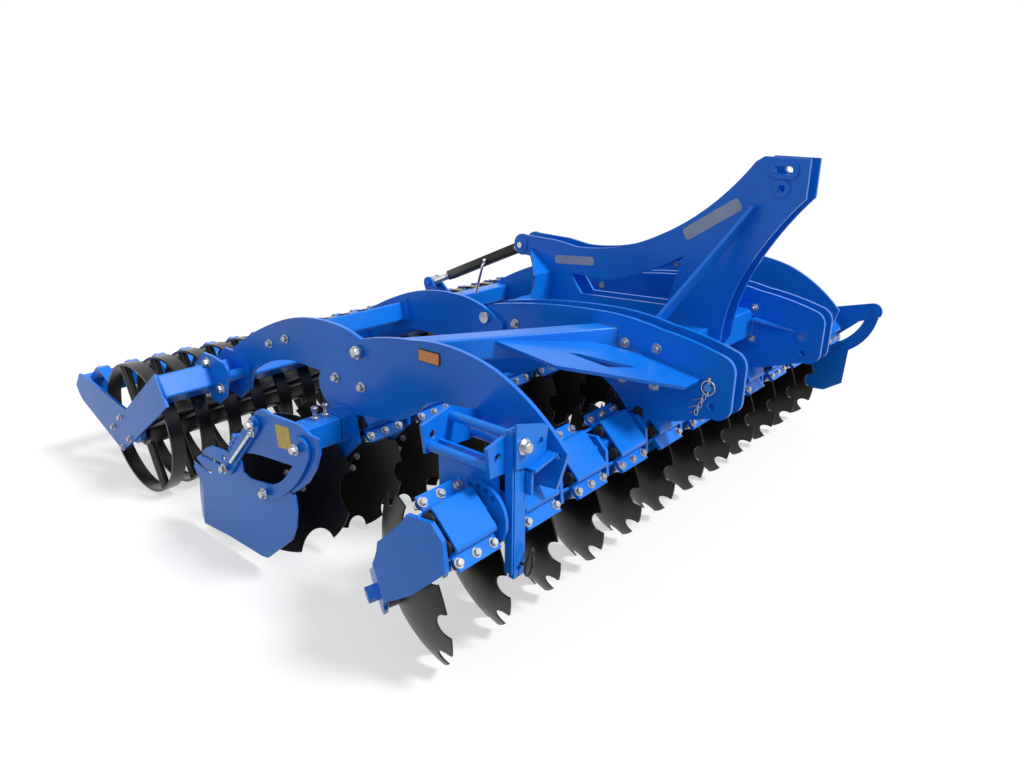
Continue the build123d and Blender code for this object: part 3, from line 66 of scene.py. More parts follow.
# ---------------------------------------------------------------- finishes
class Coat(Enum):
    """The finishes of the machine, by the name of their material."""

    BLUE = "blue_powder_coat"
    BLUE_BOLT = "blue_painted_fastener"
    BLADE = "blade_steel"
    BLACK = "black_satin_paint"
    RUBBER = "rubber_cord"
    ZINC = "zinc_plate"
    CHROME = "bright_steel"
    REFLECTOR = "amber_reflector"
    YELLOW = "blank_yellow_plate"
    PALE = "blank_pale_plate"
    GREY = "bare_grey_plate"


@dataclass(frozen=True)
class Finish:
    """One procedural material: a base colour that drifts between two shades, with its gloss and bump.

    Attributes:
        light: Linear colour of the lighter shade.
        dark: Linear colour of the darker shade.
        metallic: Share of bare metal.
        rough: Lowest and highest roughness.
        coat: Weight of the clear coat.
        patch: Size of the colour patches as noise scale, per metre.
        grain: Noise scale of the fine bump, per metre.
        bump: Height of the fine bump in metres.
        soft_edge: Radius that edges are rounded to by the shading, in metres.
        slot: Material slot of the record.
        specular: Strength of the mirror-like share.
    """

    light: Place
    dark: Place
    metallic: float
    rough: Point
    coat: float
    patch: float
    grain: float
    bump: float
    soft_edge: float
    # slot: Material slot of the record; not used.
    slot: str
    specular: float = 0.5

    def build(self, name: str) -> bpy.types.Material:
        """Make the node tree.

        Args:
            name: Name of the material.

        Returns:
            The finished material.
        """
        material = bpy.data.materials.new(name)
        material.use_nodes = True
        tree = material.node_tree
        shader = tree.nodes["Principled BSDF"]
        shader.inputs["Metallic"].default_value = self.metallic
        shader.inputs["Coat Weight"].default_value = self.coat
        shader.inputs["Coat Roughness"].default_value = 0.12
        shader.inputs["Specular IOR Level"].default_value = self.specular
        shader.inputs["Roughness"].default_value = sum(self.rough) / 2
        place = tree.nodes.new("ShaderNodeTexCoord")
        patches = self._noise(tree, place, self.patch, 4.0)
        fine = self._noise(tree, place, self.grain, 3.0)
        shades = tree.nodes.new("ShaderNodeValToRGB")
        shades.color_ramp.elements[0].position = 0.32
        shades.color_ramp.elements[1].position = 0.68
        shades.color_ramp.elements[0].color = (*self.dark, 1.0)
        shades.color_ramp.elements[1].color = (*self.light, 1.0)
        tree.links.new(patches.outputs["Fac"], shades.inputs["Fac"])
        tree.links.new(shades.outputs["Color"], shader.inputs["Base Color"])
        gloss = tree.nodes.new("ShaderNodeMapRange")
        gloss.inputs["To Min"].default_value = self.rough[0]
        gloss.inputs["To Max"].default_value = self.rough[1]
        tree.links.new(fine.outputs["Fac"], gloss.inputs["Value"])
        tree.links.new(gloss.outputs["Result"], shader.inputs["Roughness"])
        relief = tree.nodes.new("ShaderNodeBump")
        relief.inputs["Distance"].default_value = self.bump
        relief.inputs["Strength"].default_value = 1.0
        tree.links.new(fine.outputs["Fac"], relief.inputs["Height"])
        if self.soft_edge > 0:
            edge = tree.nodes.new("ShaderNodeBevel")
            edge.samples = 4
            edge.inputs["Radius"].default_value = self.soft_edge
            tree.links.new(edge.outputs["Normal"], relief.inputs["Normal"])
        tree.links.new(relief.outputs["Normal"], shader.inputs["Normal"])
        return material

    @staticmethod
    def _noise(
        tree: bpy.types.NodeTree, place: bpy.types.Node, scale: float, detail: float
    ) -> bpy.types.Node:
        """Noise texture on the object's own coordinates.

        Args:
            tree: Node tree that it joins.
            place: Texture Coordinate node.
            scale: Noise scale, per metre.
            detail: Number of octaves.

        Returns:
            The noise node.
        """
        noise = tree.nodes.new("ShaderNodeTexNoise")
        noise.inputs["Scale"].default_value = scale
        noise.inputs["Detail"].default_value = detail
        tree.links.new(place.outputs["Object"], noise.inputs["Vector"])
        return noise


# columns: light, dark, metallic, rough, coat, patch, grain, bump, soft edge, slot, specular
FINISHES: dict[Coat, Finish] = {
    Coat.BLUE: Finish(
        (0.004, 0.205, 0.82), (0.003, 0.160, 0.70), 0.0, (0.26, 0.36), 0.10, 2.4, 420.0, 0.00007, 0.0016,
        "blue_paint", 0.28,
    ),
    Coat.BLUE_BOLT: Finish(
        (0.006, 0.21, 0.80), (0.004, 0.15, 0.62), 0.0, (0.30, 0.44), 0.10, 60.0, 700.0, 0.00006, 0.0,
        "blue_paint", 0.35,
    ),
    Coat.BLADE: Finish(
        (0.013, 0.011, 0.009), (0.004, 0.0036, 0.0032), 0.1, (0.26, 0.42), 0.0, 7.0, 260.0, 0.00012, 0.0008,
        "blade_steel", 0.3,
    ),
    Coat.BLACK: Finish(
        (0.009, 0.009, 0.010), (0.004, 0.004, 0.0045), 0.0, (0.20, 0.32), 0.1, 5.0, 380.0, 0.00008, 0.0012,
        "black_paint", 0.35,
    ),
    Coat.RUBBER: Finish(
        (0.022, 0.021, 0.020), (0.010, 0.010, 0.009), 0.0, (0.55, 0.75), 0.0, 12.0, 500.0, 0.0003, 0.0015,
        "rubber_black", 0.4,
    ),
    Coat.ZINC: Finish(
        (0.56, 0.56, 0.55), (0.36, 0.37, 0.39), 0.9, (0.24, 0.42), 0.0, 55.0, 800.0, 0.00005, 0.0,
        "bright_steel",
    ),
    Coat.CHROME: Finish(
        (0.66, 0.67, 0.68), (0.48, 0.49, 0.50), 1.0, (0.16, 0.28), 0.0, 25.0, 900.0, 0.00003, 0.0,
        "bright_steel",
    ),
    Coat.REFLECTOR: Finish(
        (0.90, 0.31, 0.012), (0.66, 0.19, 0.006), 0.0, (0.16, 0.28), 0.3, 260.0, 520.0, 0.0004, 0.0,
        "bright_steel",
    ),
    Coat.YELLOW: Finish(
        (0.66, 0.50, 0.045), (0.54, 0.40, 0.03), 0.0, (0.35, 0.5), 0.1, 30.0, 600.0, 0.00004, 0.0,
        "bright_steel",
    ),
    Coat.PALE: Finish(
        (0.62, 0.63, 0.62), (0.50, 0.51, 0.52), 0.0, (0.4, 0.55), 0.1, 30.0, 600.0, 0.00004, 0.0,
        "bright_steel",
    ),
    Coat.GREY: Finish(
        (0.40, 0.45, 0.54), (0.32, 0.37, 0.46), 0.0, (0.35, 0.5), 0.1, 9.0, 600.0, 0.00004, 0.0,
        "bright_steel", 0.3,
    ),
}


@dataclass
class Palette:
    """Makes each finish once and hands it out.

    Attributes:
        made: The materials so far.
    """

    made: dict[Coat, bpy.types.Material] = field(default_factory=dict)

    def of(self, coat: Coat) -> bpy.types.Material:
        """Material of a coat.

        Args:
            coat: The finish.

        Returns:
            Its material, made at the first call.
        """
        if coat not in self.made:
            self.made[coat] = FINISHES[coat].build(coat.value)
        return self.made[coat]

    def dress(self, node: str, coat: Coat) -> None:
        """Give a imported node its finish.

        Args:
            node: Name of the node.
            coat: Its finish.
        """
        obj = frame["nodes"][node]
        obj.data.materials.clear()
        obj.data.materials.append(self.of(coat))


PALETTE = Palette()


# ---------------------------------------------------------------- surfaces
@dataclass
class Surface:
    """Closed surface as one array of points and lists of quads and many-sided faces.

    Attributes:
        points: Array of shape (n, 3).
        quads: Array of shape (m, 4) of point numbers.
        caps: Tuples of point numbers for faces with other side counts.
    """

    points: np.ndarray
    quads: np.ndarray
    caps: list[tuple[int, ...]] = field(default_factory=list)

    def copies(self, turns: np.ndarray, places: np.ndarray) -> "Surface":
        """One surface made of a copy at each place.

        Each copy's points are the turn matrix times the point, plus the place.

        Args:
            turns: Array (k, 3, 3) of rotation matrices.
            places: Array (k, 3) of positions.

        Returns:
            All copies as one surface.
        """
        count, size = len(places), len(self.points)
        points = (np.einsum("kij,nj->kni", turns, self.points) + places[:, None, :]).reshape(-1, 3)
        steps = np.arange(count) * size
        quads = (self.quads[None] + steps[:, None, None]).reshape(-1, 4)
        caps = [tuple(int(i + step) for i in cap) for step in steps for cap in self.caps]
        return Surface(points, quads, caps)

    def at(self, place: Place, turn: np.ndarray | None = None) -> "Surface":
        """One copy at a place, with an optional rotation matrix."""
        matrix = np.eye(3) if turn is None else turn
        return self.copies(matrix[None], np.array([place], float))


def joined(surfaces: list[Surface]) -> Surface:
    """Several surfaces as one.

    Args:
        surfaces: What is joined; each keeps its own points.

    Returns:
        One surface.
    """
    points, quads, caps, base = [], [], [], 0
    for surface in surfaces:
        points.append(surface.points)
        quads.append(surface.quads + base)
        caps += [tuple(i + base for i in cap) for cap in surface.caps]
        base += len(surface.points)
    return Surface(np.concatenate(points), np.concatenate(quads), caps)


def grid_quads(rows: int, sides: int) -> np.ndarray:
    """Quads of a grid of rows of points whose sides close round.

    Row i's point j meets point j + 1 of its row and the same two of row i + 1.

    Args:
        rows: Rows of points.
        sides: Points in each row.

    Returns:
        Array (m, 4) of point numbers.
    """
    i, j = np.meshgrid(np.arange(rows - 1), np.arange(sides), indexing="ij")
    near, far = i * sides, (i + 1) * sides
    step = (j + 1) % sides
    return np.stack([near + j, near + step, far + step, far + j], axis=-1).reshape(-1, 4)


def ringed(rings: np.ndarray) -> Surface:
    """Closed solid from rings of points, capped at both ends.

    Args:
        rings: Array (rows, sides, 3), each ring anticlockwise seen from the last ring.

    Returns:
        The closed surface.
    """
    rows, sides = rings.shape[:2]
    last = (rows - 1) * sides
    caps = [tuple(range(sides))[::-1], tuple(range(last, last + sides))]
    return Surface(rings.reshape(-1, 3), grid_quads(rows, sides), caps)


def turned(profile: list[Point], sides: int = 20) -> Surface:
    """Solid of revolution about Z.

    Point (u, v) is (r(u) cos v, r(u) sin v, z(u)), with v once round.

    Args:
        profile: Pairs (radius, height) from bottom to top, with no zero radius.
        sides: Points round the axis.

    Returns:
        The capped surface.
    """
    radius, height = np.array(profile, float).T
    angle = np.arange(sides) * TAU / sides
    rings = np.stack(
        [
            radius[:, None] * np.cos(angle),
            radius[:, None] * np.sin(angle),
            np.repeat(height[:, None], sides, axis=1),
        ],
        axis=-1,
    )
    return ringed(rings)


def hexagonal(across: float, height: float, base: float = 0.0) -> Surface:
    """Hexagonal head along +Z with a chamfered top.

    The side at angle v lies at a / cos(v mod 60 degrees - 30 degrees), a being half the size across
    flats. The ring under the top is the smaller of that and 1.06 a, so the corners are turned off.

    Args:
        across: Size across its flats.
        height: Height of the head.
        base: Height that it starts at.

    Returns:
        The closed head.
    """
    sides = 24
    angle = np.arange(sides) * TAU / sides
    flat = across / 2 / np.cos(np.mod(angle, TAU / 6) - TAU / 12)
    rows = [(flat, base), (flat, base + height * 0.8), (np.minimum(flat, across * 0.53), base + height * 0.9)]
    rows += [(np.full(sides, across * 0.46), base + height)]
    rings = np.stack(
        [np.stack([r * np.cos(angle), r * np.sin(angle), np.full(sides, z)], axis=-1) for r, z in rows]
    )
    return ringed(rings)


def bolt(across: float) -> Surface:
    """Bolt head on its washer, standing on z = 0.

    Args:
        across: Size of the head across its flats.

    Returns:
        The head with its washer.
    """
    thick = 0.14 * across
    head = hexagonal(across, 0.58 * across, thick)
    radius = 0.80 * across
    rim = 0.25 * thick
    disc = turned([(radius - rim, 0), (radius, rim), (radius, thick - rim), (radius - rim, thick)])
    return joined([disc, head])


def nut(across: float) -> Surface:
    """Nut on its washer with the bolt's end standing out."""
    stub = np.array([(0.33, 0.5), (0.33, 1.25), (0.26, 1.34)]) * across
    return joined([bolt(across), turned(stub.tolist(), 14)])


def swept(path: np.ndarray, radius: np.ndarray, sides: int = 8) -> Surface:
    """Tube along a path.

    Ring i is path(i) + radius(i) (cos v N(i) + sin v B(i)), where N and B are square to the
    path. N is carried along by taking out its share along each new tangent.

    Args:
        path: Array (n, 3) of points.
        radius: Array (n,) of radii.
        sides: Points round the path.

    Returns:
        The capped surface.
    """
    tangent = np.gradient(path, axis=0)
    tangent /= np.linalg.norm(tangent, axis=1, keepdims=True)
    helper = np.array([0.0, 0.0, 1.0]) if abs(tangent[0, 2]) < 0.9 else np.array([1.0, 0.0, 0.0])
    normal = helper - tangent * (tangent @ helper)[:, None]
    normal /= np.linalg.norm(normal, axis=1, keepdims=True)
    across = np.cross(tangent, normal)
    angle = np.arange(sides) * TAU / sides
    rings = path[:, None] + radius[:, None, None] * (
        np.cos(angle)[None, :, None] * normal[:, None] + np.sin(angle)[None, :, None] * across[:, None]
    )
    return ringed(rings)


def weld(start: Place, end: Place, size: float = 0.006) -> Surface:
    """Weld bead between two points: a round bead whose radius swells at each drop, 8 mm apart.

    The radius is size (1 + 0.16 |sin(pi s / 8 mm)|) at the length s, and runs out at both ends.

    Args:
        start: One end.
        end: The other end.
        size: Radius of the bead.

    Returns:
        The bead.
    """
    a, b = np.array(start, float), np.array(end, float)
    length = float(np.linalg.norm(b - a))
    steps = max(6, int(length / 0.002))
    along = np.linspace(0.0, 1.0, steps)
    swell = 1.0 + 0.16 * np.abs(np.sin(along * length / 0.004 * math.pi / 2))
    taper = np.minimum(1.0, 6.0 * np.minimum(along, 1.0 - along) + 0.35)
    return swept(a + along[:, None] * (b - a), size * swell * taper, 7)


def wire(points: list[Place], radius: float, closed: bool = False, steps: int = 10) -> Surface:
    """Bent wire through its points, on a smooth curve that passes through each of them.

    Between points P1 and P2 the curve is the cubic that meets the neighbours' directions
    (Catmull-Rom): half of 2 P1 + (P2 - P0) t + (2 P0 - 5 P1 + 4 P2 - P3) t^2 + (3 P1 - P0 - 3 P2 + P3) t^3.

    Args:
        points: Points that the wire passes through.
        radius: Radius of the wire.
        closed: Whether the last point meets the first.
        steps: Steps between two points.

    Returns:
        The wire.
    """
    p = np.array(points, float)
    p = np.vstack([p[-1], p, p[:2]]) if closed else np.vstack([2 * p[0] - p[1], p, 2 * p[-1] - p[-2]])
    t = np.linspace(0.0, 1.0, steps, endpoint=False)[:, None]
    parts = [
        0.5 * (2 * b + (c - a) * t + (2 * a - 5 * b + 4 * c - d) * t**2 + (3 * b - a - 3 * c + d) * t**3)
        for a, b, c, d in zip(p[:-3], p[1:-2], p[2:-1], p[3:])
    ]
    path = np.vstack([*parts, p[-2:-1]])
    return swept(path, np.full(len(path), radius), 8)


def slab(outline: list[Point], thickness: float, edge: float = 0.0006) -> Surface:
    """Flat piece in the plane of X and Y from its outline, standing on z = 0, with a fine edge.

    The outline is drawn in towards its middle by the edge's width at the bottom and the top.

    Args:
        outline: Points round the piece, anticlockwise.
        thickness: Thickness of the piece.
        edge: Width of the edge.

    Returns:
        The closed piece.
    """
    flat = np.array(outline, float)
    middle = flat.mean(axis=0)
    reach = np.linalg.norm(flat - middle, axis=1, keepdims=True)
    inside = middle + (flat - middle) * (1.0 - edge / reach)
    rows = [(inside, 0.0), (flat, edge), (flat, thickness - edge), (inside, thickness)]
    rings = np.stack([np.column_stack([xy, np.full(len(xy), z)]) for xy, z in rows])
    return ringed(rings)


def cut_sheet(outline: list[Point], holes: list[list[Point]], thickness: float) -> Surface:
    """Flat sheet with holes in the plane of X and Y, standing on z = 0.

    Each loop gives a wall of quads. Both faces are the triangles between the loops.

    Args:
        outline: Points of the outer loop, anticlockwise.
        holes: Loops of the holes, clockwise.
        thickness: Thickness of the sheet.

    Returns:
        The closed sheet.
    """
    loops = [np.array(loop, float) for loop in (outline, *holes)]
    flat = np.concatenate(loops)
    count = len(flat)
    points = np.concatenate([np.column_stack([flat, np.full(count, z)]) for z in (0.0, thickness)])
    quads, base = [], 0
    for loop in loops:
        i = base + np.arange(len(loop))
        j = base + (np.arange(len(loop)) + 1) % len(loop)
        quads.append(np.stack([i, j, j + count, i + count], axis=-1))
        base += len(loop)
    faces = tessellate_polygon([[Vector((x, y, 0.0)) for x, y in loop] for loop in loops])
    caps = []
    for a, b, c in faces:
        area = np.cross(flat[b] - flat[a], flat[c] - flat[a])
        up = (a, b, c) if area > 0 else (a, c, b)
        caps += [tuple(i + count for i in up), up[::-1]]
    return Surface(points, np.concatenate(quads), caps)


def side_view(points: Outline) -> list[Point]:
    """Points given as Y and Z in millimetres, for a piece that lies across the X axis."""
    places = [LAYOUT.spot(0, y, z) for y, z in points]
    return [(place[1], place[2]) for place in places]


def across_x(surface: Surface, low: float) -> Surface:
    """Turn a flat piece so that its x and y become Y and Z and it stands on the plane X = low."""
    points = np.column_stack([surface.points[:, 2] + low, surface.points[:, 0], surface.points[:, 1]])
    return Surface(points, surface.quads, surface.caps)


def across_y(surface: Surface, front: float) -> Surface:
    """Turn a flat piece so that its x and y become X and Z and it stands out forwards from Y = front."""
    points = np.column_stack([surface.points[:, 0], front - surface.points[:, 2], surface.points[:, 1]])
    return Surface(points, surface.quads, surface.caps)


def front_view(points: Outline) -> list[Point]:
    """Points given as X and Z in millimetres, for a piece that lies across the Y axis."""
    places = [LAYOUT.spot(x, 0, z) for x, z in points]
    return [(place[0], place[2]) for place in places]


def hole_round(x: float, y: float, radius: float) -> list[Point]:
    """Points clockwise round a hole."""
    angle = -np.linspace(0, TAU, 20, endpoint=False)
    return list(zip((x + radius * np.cos(angle)).tolist(), (y + radius * np.sin(angle)).tolist()))


def rounded(width: float, height: float, corner: float, steps: int = 5) -> list[Point]:
    """Outline of a rectangle with round corners, about the origin.

    Args:
        width: Size along x.
        height: Size along y.
        corner: Radius of the corners.
        steps: Points on each corner.

    Returns:
        Points round the rectangle, anticlockwise.
    """
    quarter = np.linspace(0, math.pi / 2, steps)
    corners = [(1, 1, 0.0), (-1, 1, 0.5), (-1, -1, 1.0), (1, -1, 1.5)]
    return [
        (
            float(sx * (width / 2 - corner) + corner * math.cos(a + start * math.pi)),
            float(sy * (height / 2 - corner) + corner * math.sin(a + start * math.pi)),
        )
        for sx, sy, start in corners
        for a in quarter
    ]


def facing(direction: Place, spin: float = 0.0) -> np.ndarray:
    """Rotation matrix that turns +Z to a direction, after a spin about Z.

    Args:
        direction: Where +Z is turned to.
        spin: Turn about Z before that, in radians.

    Returns:
        Array (3, 3).
    """
    z = np.array(direction, float)
    z /= np.linalg.norm(z)
    helper = np.array([0.0, 0.0, 1.0]) if abs(z[2]) < 0.9 else np.array([0.0, 1.0, 0.0])
    x = np.cross(helper, z)
    x /= np.linalg.norm(x)
    y = np.cross(z, x)
    c, s = math.cos(spin), math.sin(spin)
    return np.column_stack([x, y, z]) @ np.array([[c, -s, 0], [s, c, 0], [0, 0, 1]])


def piece(name: str, surface: Surface, coat: Coat, body: str, smooth: bool = False) -> bpy.types.Object:
    """Put a surface into the scene as a piece.

    Args:
        name: Name of the piece.
        surface: Its closed surface.
        coat: Its finish.
        body: Body that it rides on.
        smooth: Shade by angle instead of flat.

    Returns:
        The new object.
    """
    mesh = bpy.data.meshes.new(name)
    faces = surface.quads.tolist() + [list(cap) for cap in surface.caps]
    mesh.from_pydata(surface.points.tolist(), [], faces)
    mesh.validate()
    mesh.materials.append(PALETTE.of(coat))
    obj = bpy.data.objects.new(name, mesh)
    bpy.context.scene.collection.objects.link(obj)
    if smooth:
        mesh.shade_smooth()
        mesh.set_sharp_from_angle(angle=math.radians(38))
    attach(obj, body)
    LOG.info("%s: %d faces on %s", name, len(faces), body)
    return obj


# ---------------------------------------------------------------- where things are
@dataclass(frozen=True)
class Layout:
    """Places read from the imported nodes, and the sizes that the pieces share.

    Attributes:
        beam: Side of the square beams.
        row_offset: Distance from the front beam's middle to the front disc row.
    """

    beam: float = 0.080
    row_offset: float = 0.196

    @property
    def middle_x(self) -> float:
        """X of the machine's middle plane."""
        low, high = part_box("side_plates")
        return (low[0] + high[0]) / 2

    @property
    def front_beam(self) -> Point:
        """Y and Z of the front beam's middle."""
        low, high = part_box("beams")
        return low[1] + self.beam / 2, (low[2] + high[2]) / 2

    @property
    def rear_beam(self) -> Point:
        """Y and Z of the rear beam's middle."""
        low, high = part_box("beams")
        return high[1] - self.beam / 2, (low[2] + high[2]) / 2

    @property
    def row_y(self) -> float:
        """Y of the front disc row."""
        return self.front_beam[0] + self.row_offset

    def spot(self, x: float, y: float, z: float) -> Place:
        """Point given in millimetres from the middle plane, the front disc row and the floor."""
        return self.middle_x + x / 1000, self.row_y + y / 1000, z / 1000


LAYOUT = Layout()


def ends_of(node: str) -> list[Point]:
    """X of a node's two ends, each with the way it looks."""
    low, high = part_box(node)
    return [(low[0], -1.0), (high[0], 1.0)]


def on_faces(surface: Surface, faces: list[Point], spots: Outline, spin: float = 0.0) -> Surface:
    """Copies of a surface on faces across X.

    Args:
        surface: What stands on the faces, along +Z.
        faces: X of each face, with the way it looks.
        spots: Y and Z in millimetres on every face.
        spin: Turn of each copy about its own axis, in radians.

    Returns:
        All copies as one surface.
    """
    places = [(x, *LAYOUT.spot(0, y, z)[1:]) for x, _ in faces for y, z in spots]
    turns = [facing((out, 0.0, 0.0), spin) for _, out in faces for _ in spots]
    return surface.copies(np.stack(turns), np.array(places))


def beads_round(x: float, depths: Point, heights: Point) -> list[Surface]:
    """Four weld beads round a rectangle across X, from its lowest and highest Y and Z."""
    level = [weld((x, depths[0], z), (x, depths[1], z), 0.005) for z in heights]
    return level + [weld((x, y, heights[0]), (x, y, heights[1]), 0.005) for y in depths]


def hinge_of(child: str) -> dict:
    """The joint that moves a body."""
    return next(joint for joint in frame["joints"] if joint["child"] == child)


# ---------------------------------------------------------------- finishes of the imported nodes
@dataclass(frozen=True)
class PackedParts:
    """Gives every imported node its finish.

    Attributes:
        bright: Nodes of bright steel.
    """

    bright: tuple[str, ...] = ("pins", "turnbuckle_rod", "turnbuckle_tube")

    def coat_of(self, node: str) -> Coat:
        """Finish of a node, by its name.

        Args:
            node: Name of the node.

        Returns:
            Its finish.
        """
        if node.startswith("disc_"):
            return Coat.BLADE
        if node == "roller":
            return Coat.BLACK
        if node == "rubbers":
            return Coat.RUBBER
        return Coat.CHROME if node in self.bright else Coat.BLUE

    def build(self) -> None:
        """Dress all nodes."""
        for node in frame["nodes"]:
            PALETTE.dress(node, self.coat_of(node))
        LOG.info("%d packed nodes dressed", len(frame["nodes"]))


# ---------------------------------------------------------------- clamps
@dataclass(frozen=True)
class Clamps:
    """Bolts of the clamp housings of both rows.

    Attributes:
        pitch: Spacing of the three bolts of a flange.
        along: Distance of the bolts from the housing's middle, along its face.
        cap_face: Distance of the cap's flange face from the beam's middle, out of the housing.
        shell_face: The same for the shell's flange.
        shift: Offset of a cap from its disc.
        first_shift: The same for the first front cap.
        keep_off: Half-width beside an arched plate where no bolt fits.
        across: Size of the bolts across their flats.
        half_plate: Half the thickness of the outer plates.
        link_inward: Distance of the middles of the twin link plates from their bosses' outer face.
    """

    pitch: float = 0.067
    along: float = 0.093
    cap_face: float = 0.0327
    shell_face: float = 0.0167
    shift: float = -0.0095
    first_shift: float = -0.043
    keep_off: float = 0.026
    across: float = 0.019
    half_plate: float = 0.0075
    link_inward: Point = (0.0155, 0.1005)

    def centres(self) -> list[tuple[float, Point]]:
        """Where the caps are.

        Returns:
            X of each cap's middle, with Y and Z of its beam.
        """
        spots = []
        for joint in frame["joints"]:
            child = joint["child"]
            if child.startswith("blade_front"):
                shift = self.first_shift if child.endswith("_01") else self.shift
                spots.append((joint["pos_m"][0] + shift, LAYOUT.front_beam))
            elif child.startswith("blade_rear") and not child.endswith("_01"):
                spots.append((joint["pos_m"][0] - self.shift, LAYOUT.rear_beam))
        return spots

    def plates(self) -> list[float]:
        """X of the arched plates, where the housings are slotted."""
        sides = [x - out * self.half_plate for x, out in ends_of("side_plates")]
        return sides + [x - out * inward for x, out in ends_of("link_plates") for inward in self.link_inward]

    def build(self) -> None:
        """Heads on the caps, nuts behind the shells."""
        out = np.array([0.0, -1.0, 1.0]) / math.sqrt(2)
        down = np.array([0.0, -1.0, -1.0]) / math.sqrt(2)
        heads, backs = [], []
        taken = np.array(self.plates())
        for x, (y, z) in self.centres():
            for step in (-1, 0, 1):
                bolt_x = x + step * self.pitch
                if np.abs(taken - bolt_x).min() < self.keep_off:
                    continue
                for side in (-1, 1):
                    centre = np.array([bolt_x, y, z]) + side * self.along * down
                    heads.append(centre + out * self.cap_face)
                    backs.append(centre + out * self.shell_face)
        rng = np.random.default_rng(7)
        spins = rng.uniform(0, TAU / 6, len(heads))
        turns = np.stack([facing(tuple(out), spin) for spin in spins])
        back_turns = np.stack([facing(tuple(-out), spin) for spin in spins])
        piece("clamp_bolts", bolt(self.across).copies(turns, np.array(heads)), Coat.ZINC, "frame", True)
        piece("clamp_nuts", nut(self.across).copies(back_turns, np.array(backs)), Coat.ZINC, "frame", True)
        self.label(out)

    def label(self, out: np.ndarray) -> None:
        """Small blank plate on the second cap.

        Args:
            out: Direction out of the cap's face.
        """
        x, (y, z) = self.centres()[1]
        face = np.array([x - 0.026, y, z]) + out * 0.0707
        plate = slab(rounded(0.034, 0.042, 0.003), 0.0006, 0.0002)
        piece("clamp_blank_label", plate.at(tuple(face), facing(tuple(out))), Coat.PALE, "frame")


# ---------------------------------------------------------------- discs
@dataclass(frozen=True)
class DiscHubs:
    """Bolts and centre cap on the hollow side of each disc.

    Attributes:
        radius: Radius of the bolt circle.
        count: Number of bolts.
        depth: Distance of the disc's bottom behind its rim plane.
        ball: Radius of the sphere that the disc is cut from.
        across: Size of the bolts across their flats.
        sunk: Distance that a washer lies in the hollow surface.
    """

    radius: float = 0.046
    count: int = 5
    depth: float = 0.073
    ball: float = 0.5451
    across: float = 0.017
    sunk: float = 0.0004

    def surface(self) -> tuple[Surface, Surface]:
        """Bolts, and the cap with its rolled rim, about Z with the rim plane at z = 0.

        A bolt at radius r stands at -depth + ball - sqrt(ball^2 - r^2), square to the sphere.

        Returns:
            The bolts and the cap.
        """
        rise = self.ball - math.sqrt(self.ball**2 - self.radius**2)
        angle = np.arange(self.count) * TAU / self.count + 0.3
        seat = np.full(self.count, rise - self.depth - self.sunk)
        places = np.column_stack([self.radius * np.cos(angle), self.radius * np.sin(angle), seat])
        turns = np.repeat(np.eye(3)[None], self.count, axis=0)
        bolts = bolt(self.across).copies(turns, places)
        cap = turned(
            [(0.026, -self.depth - 0.002), (0.026, -self.depth + 0.004), (0.022, -self.depth + 0.006),
             (0.012, -self.depth + 0.0072), (0.002, -self.depth + 0.0076)], 24
        )
        return bolts, cap

    def build(self) -> None:
        """One pair of pieces on every disc body."""
        bolts, cap = self.surface()
        for joint in frame["joints"]:
            body = joint["child"]
            if not body.startswith("blade_"):
                continue
            turn = facing(tuple(joint["axis"]))
            place = tuple(joint["pos_m"])
            number = body.removeprefix("blade_")
            piece(f"hub_bolts_{number}", bolts.at(place, turn), Coat.ZINC, body, True)
            piece(f"hub_cap_{number}", cap.at(place, turn), Coat.BLADE, body, True)


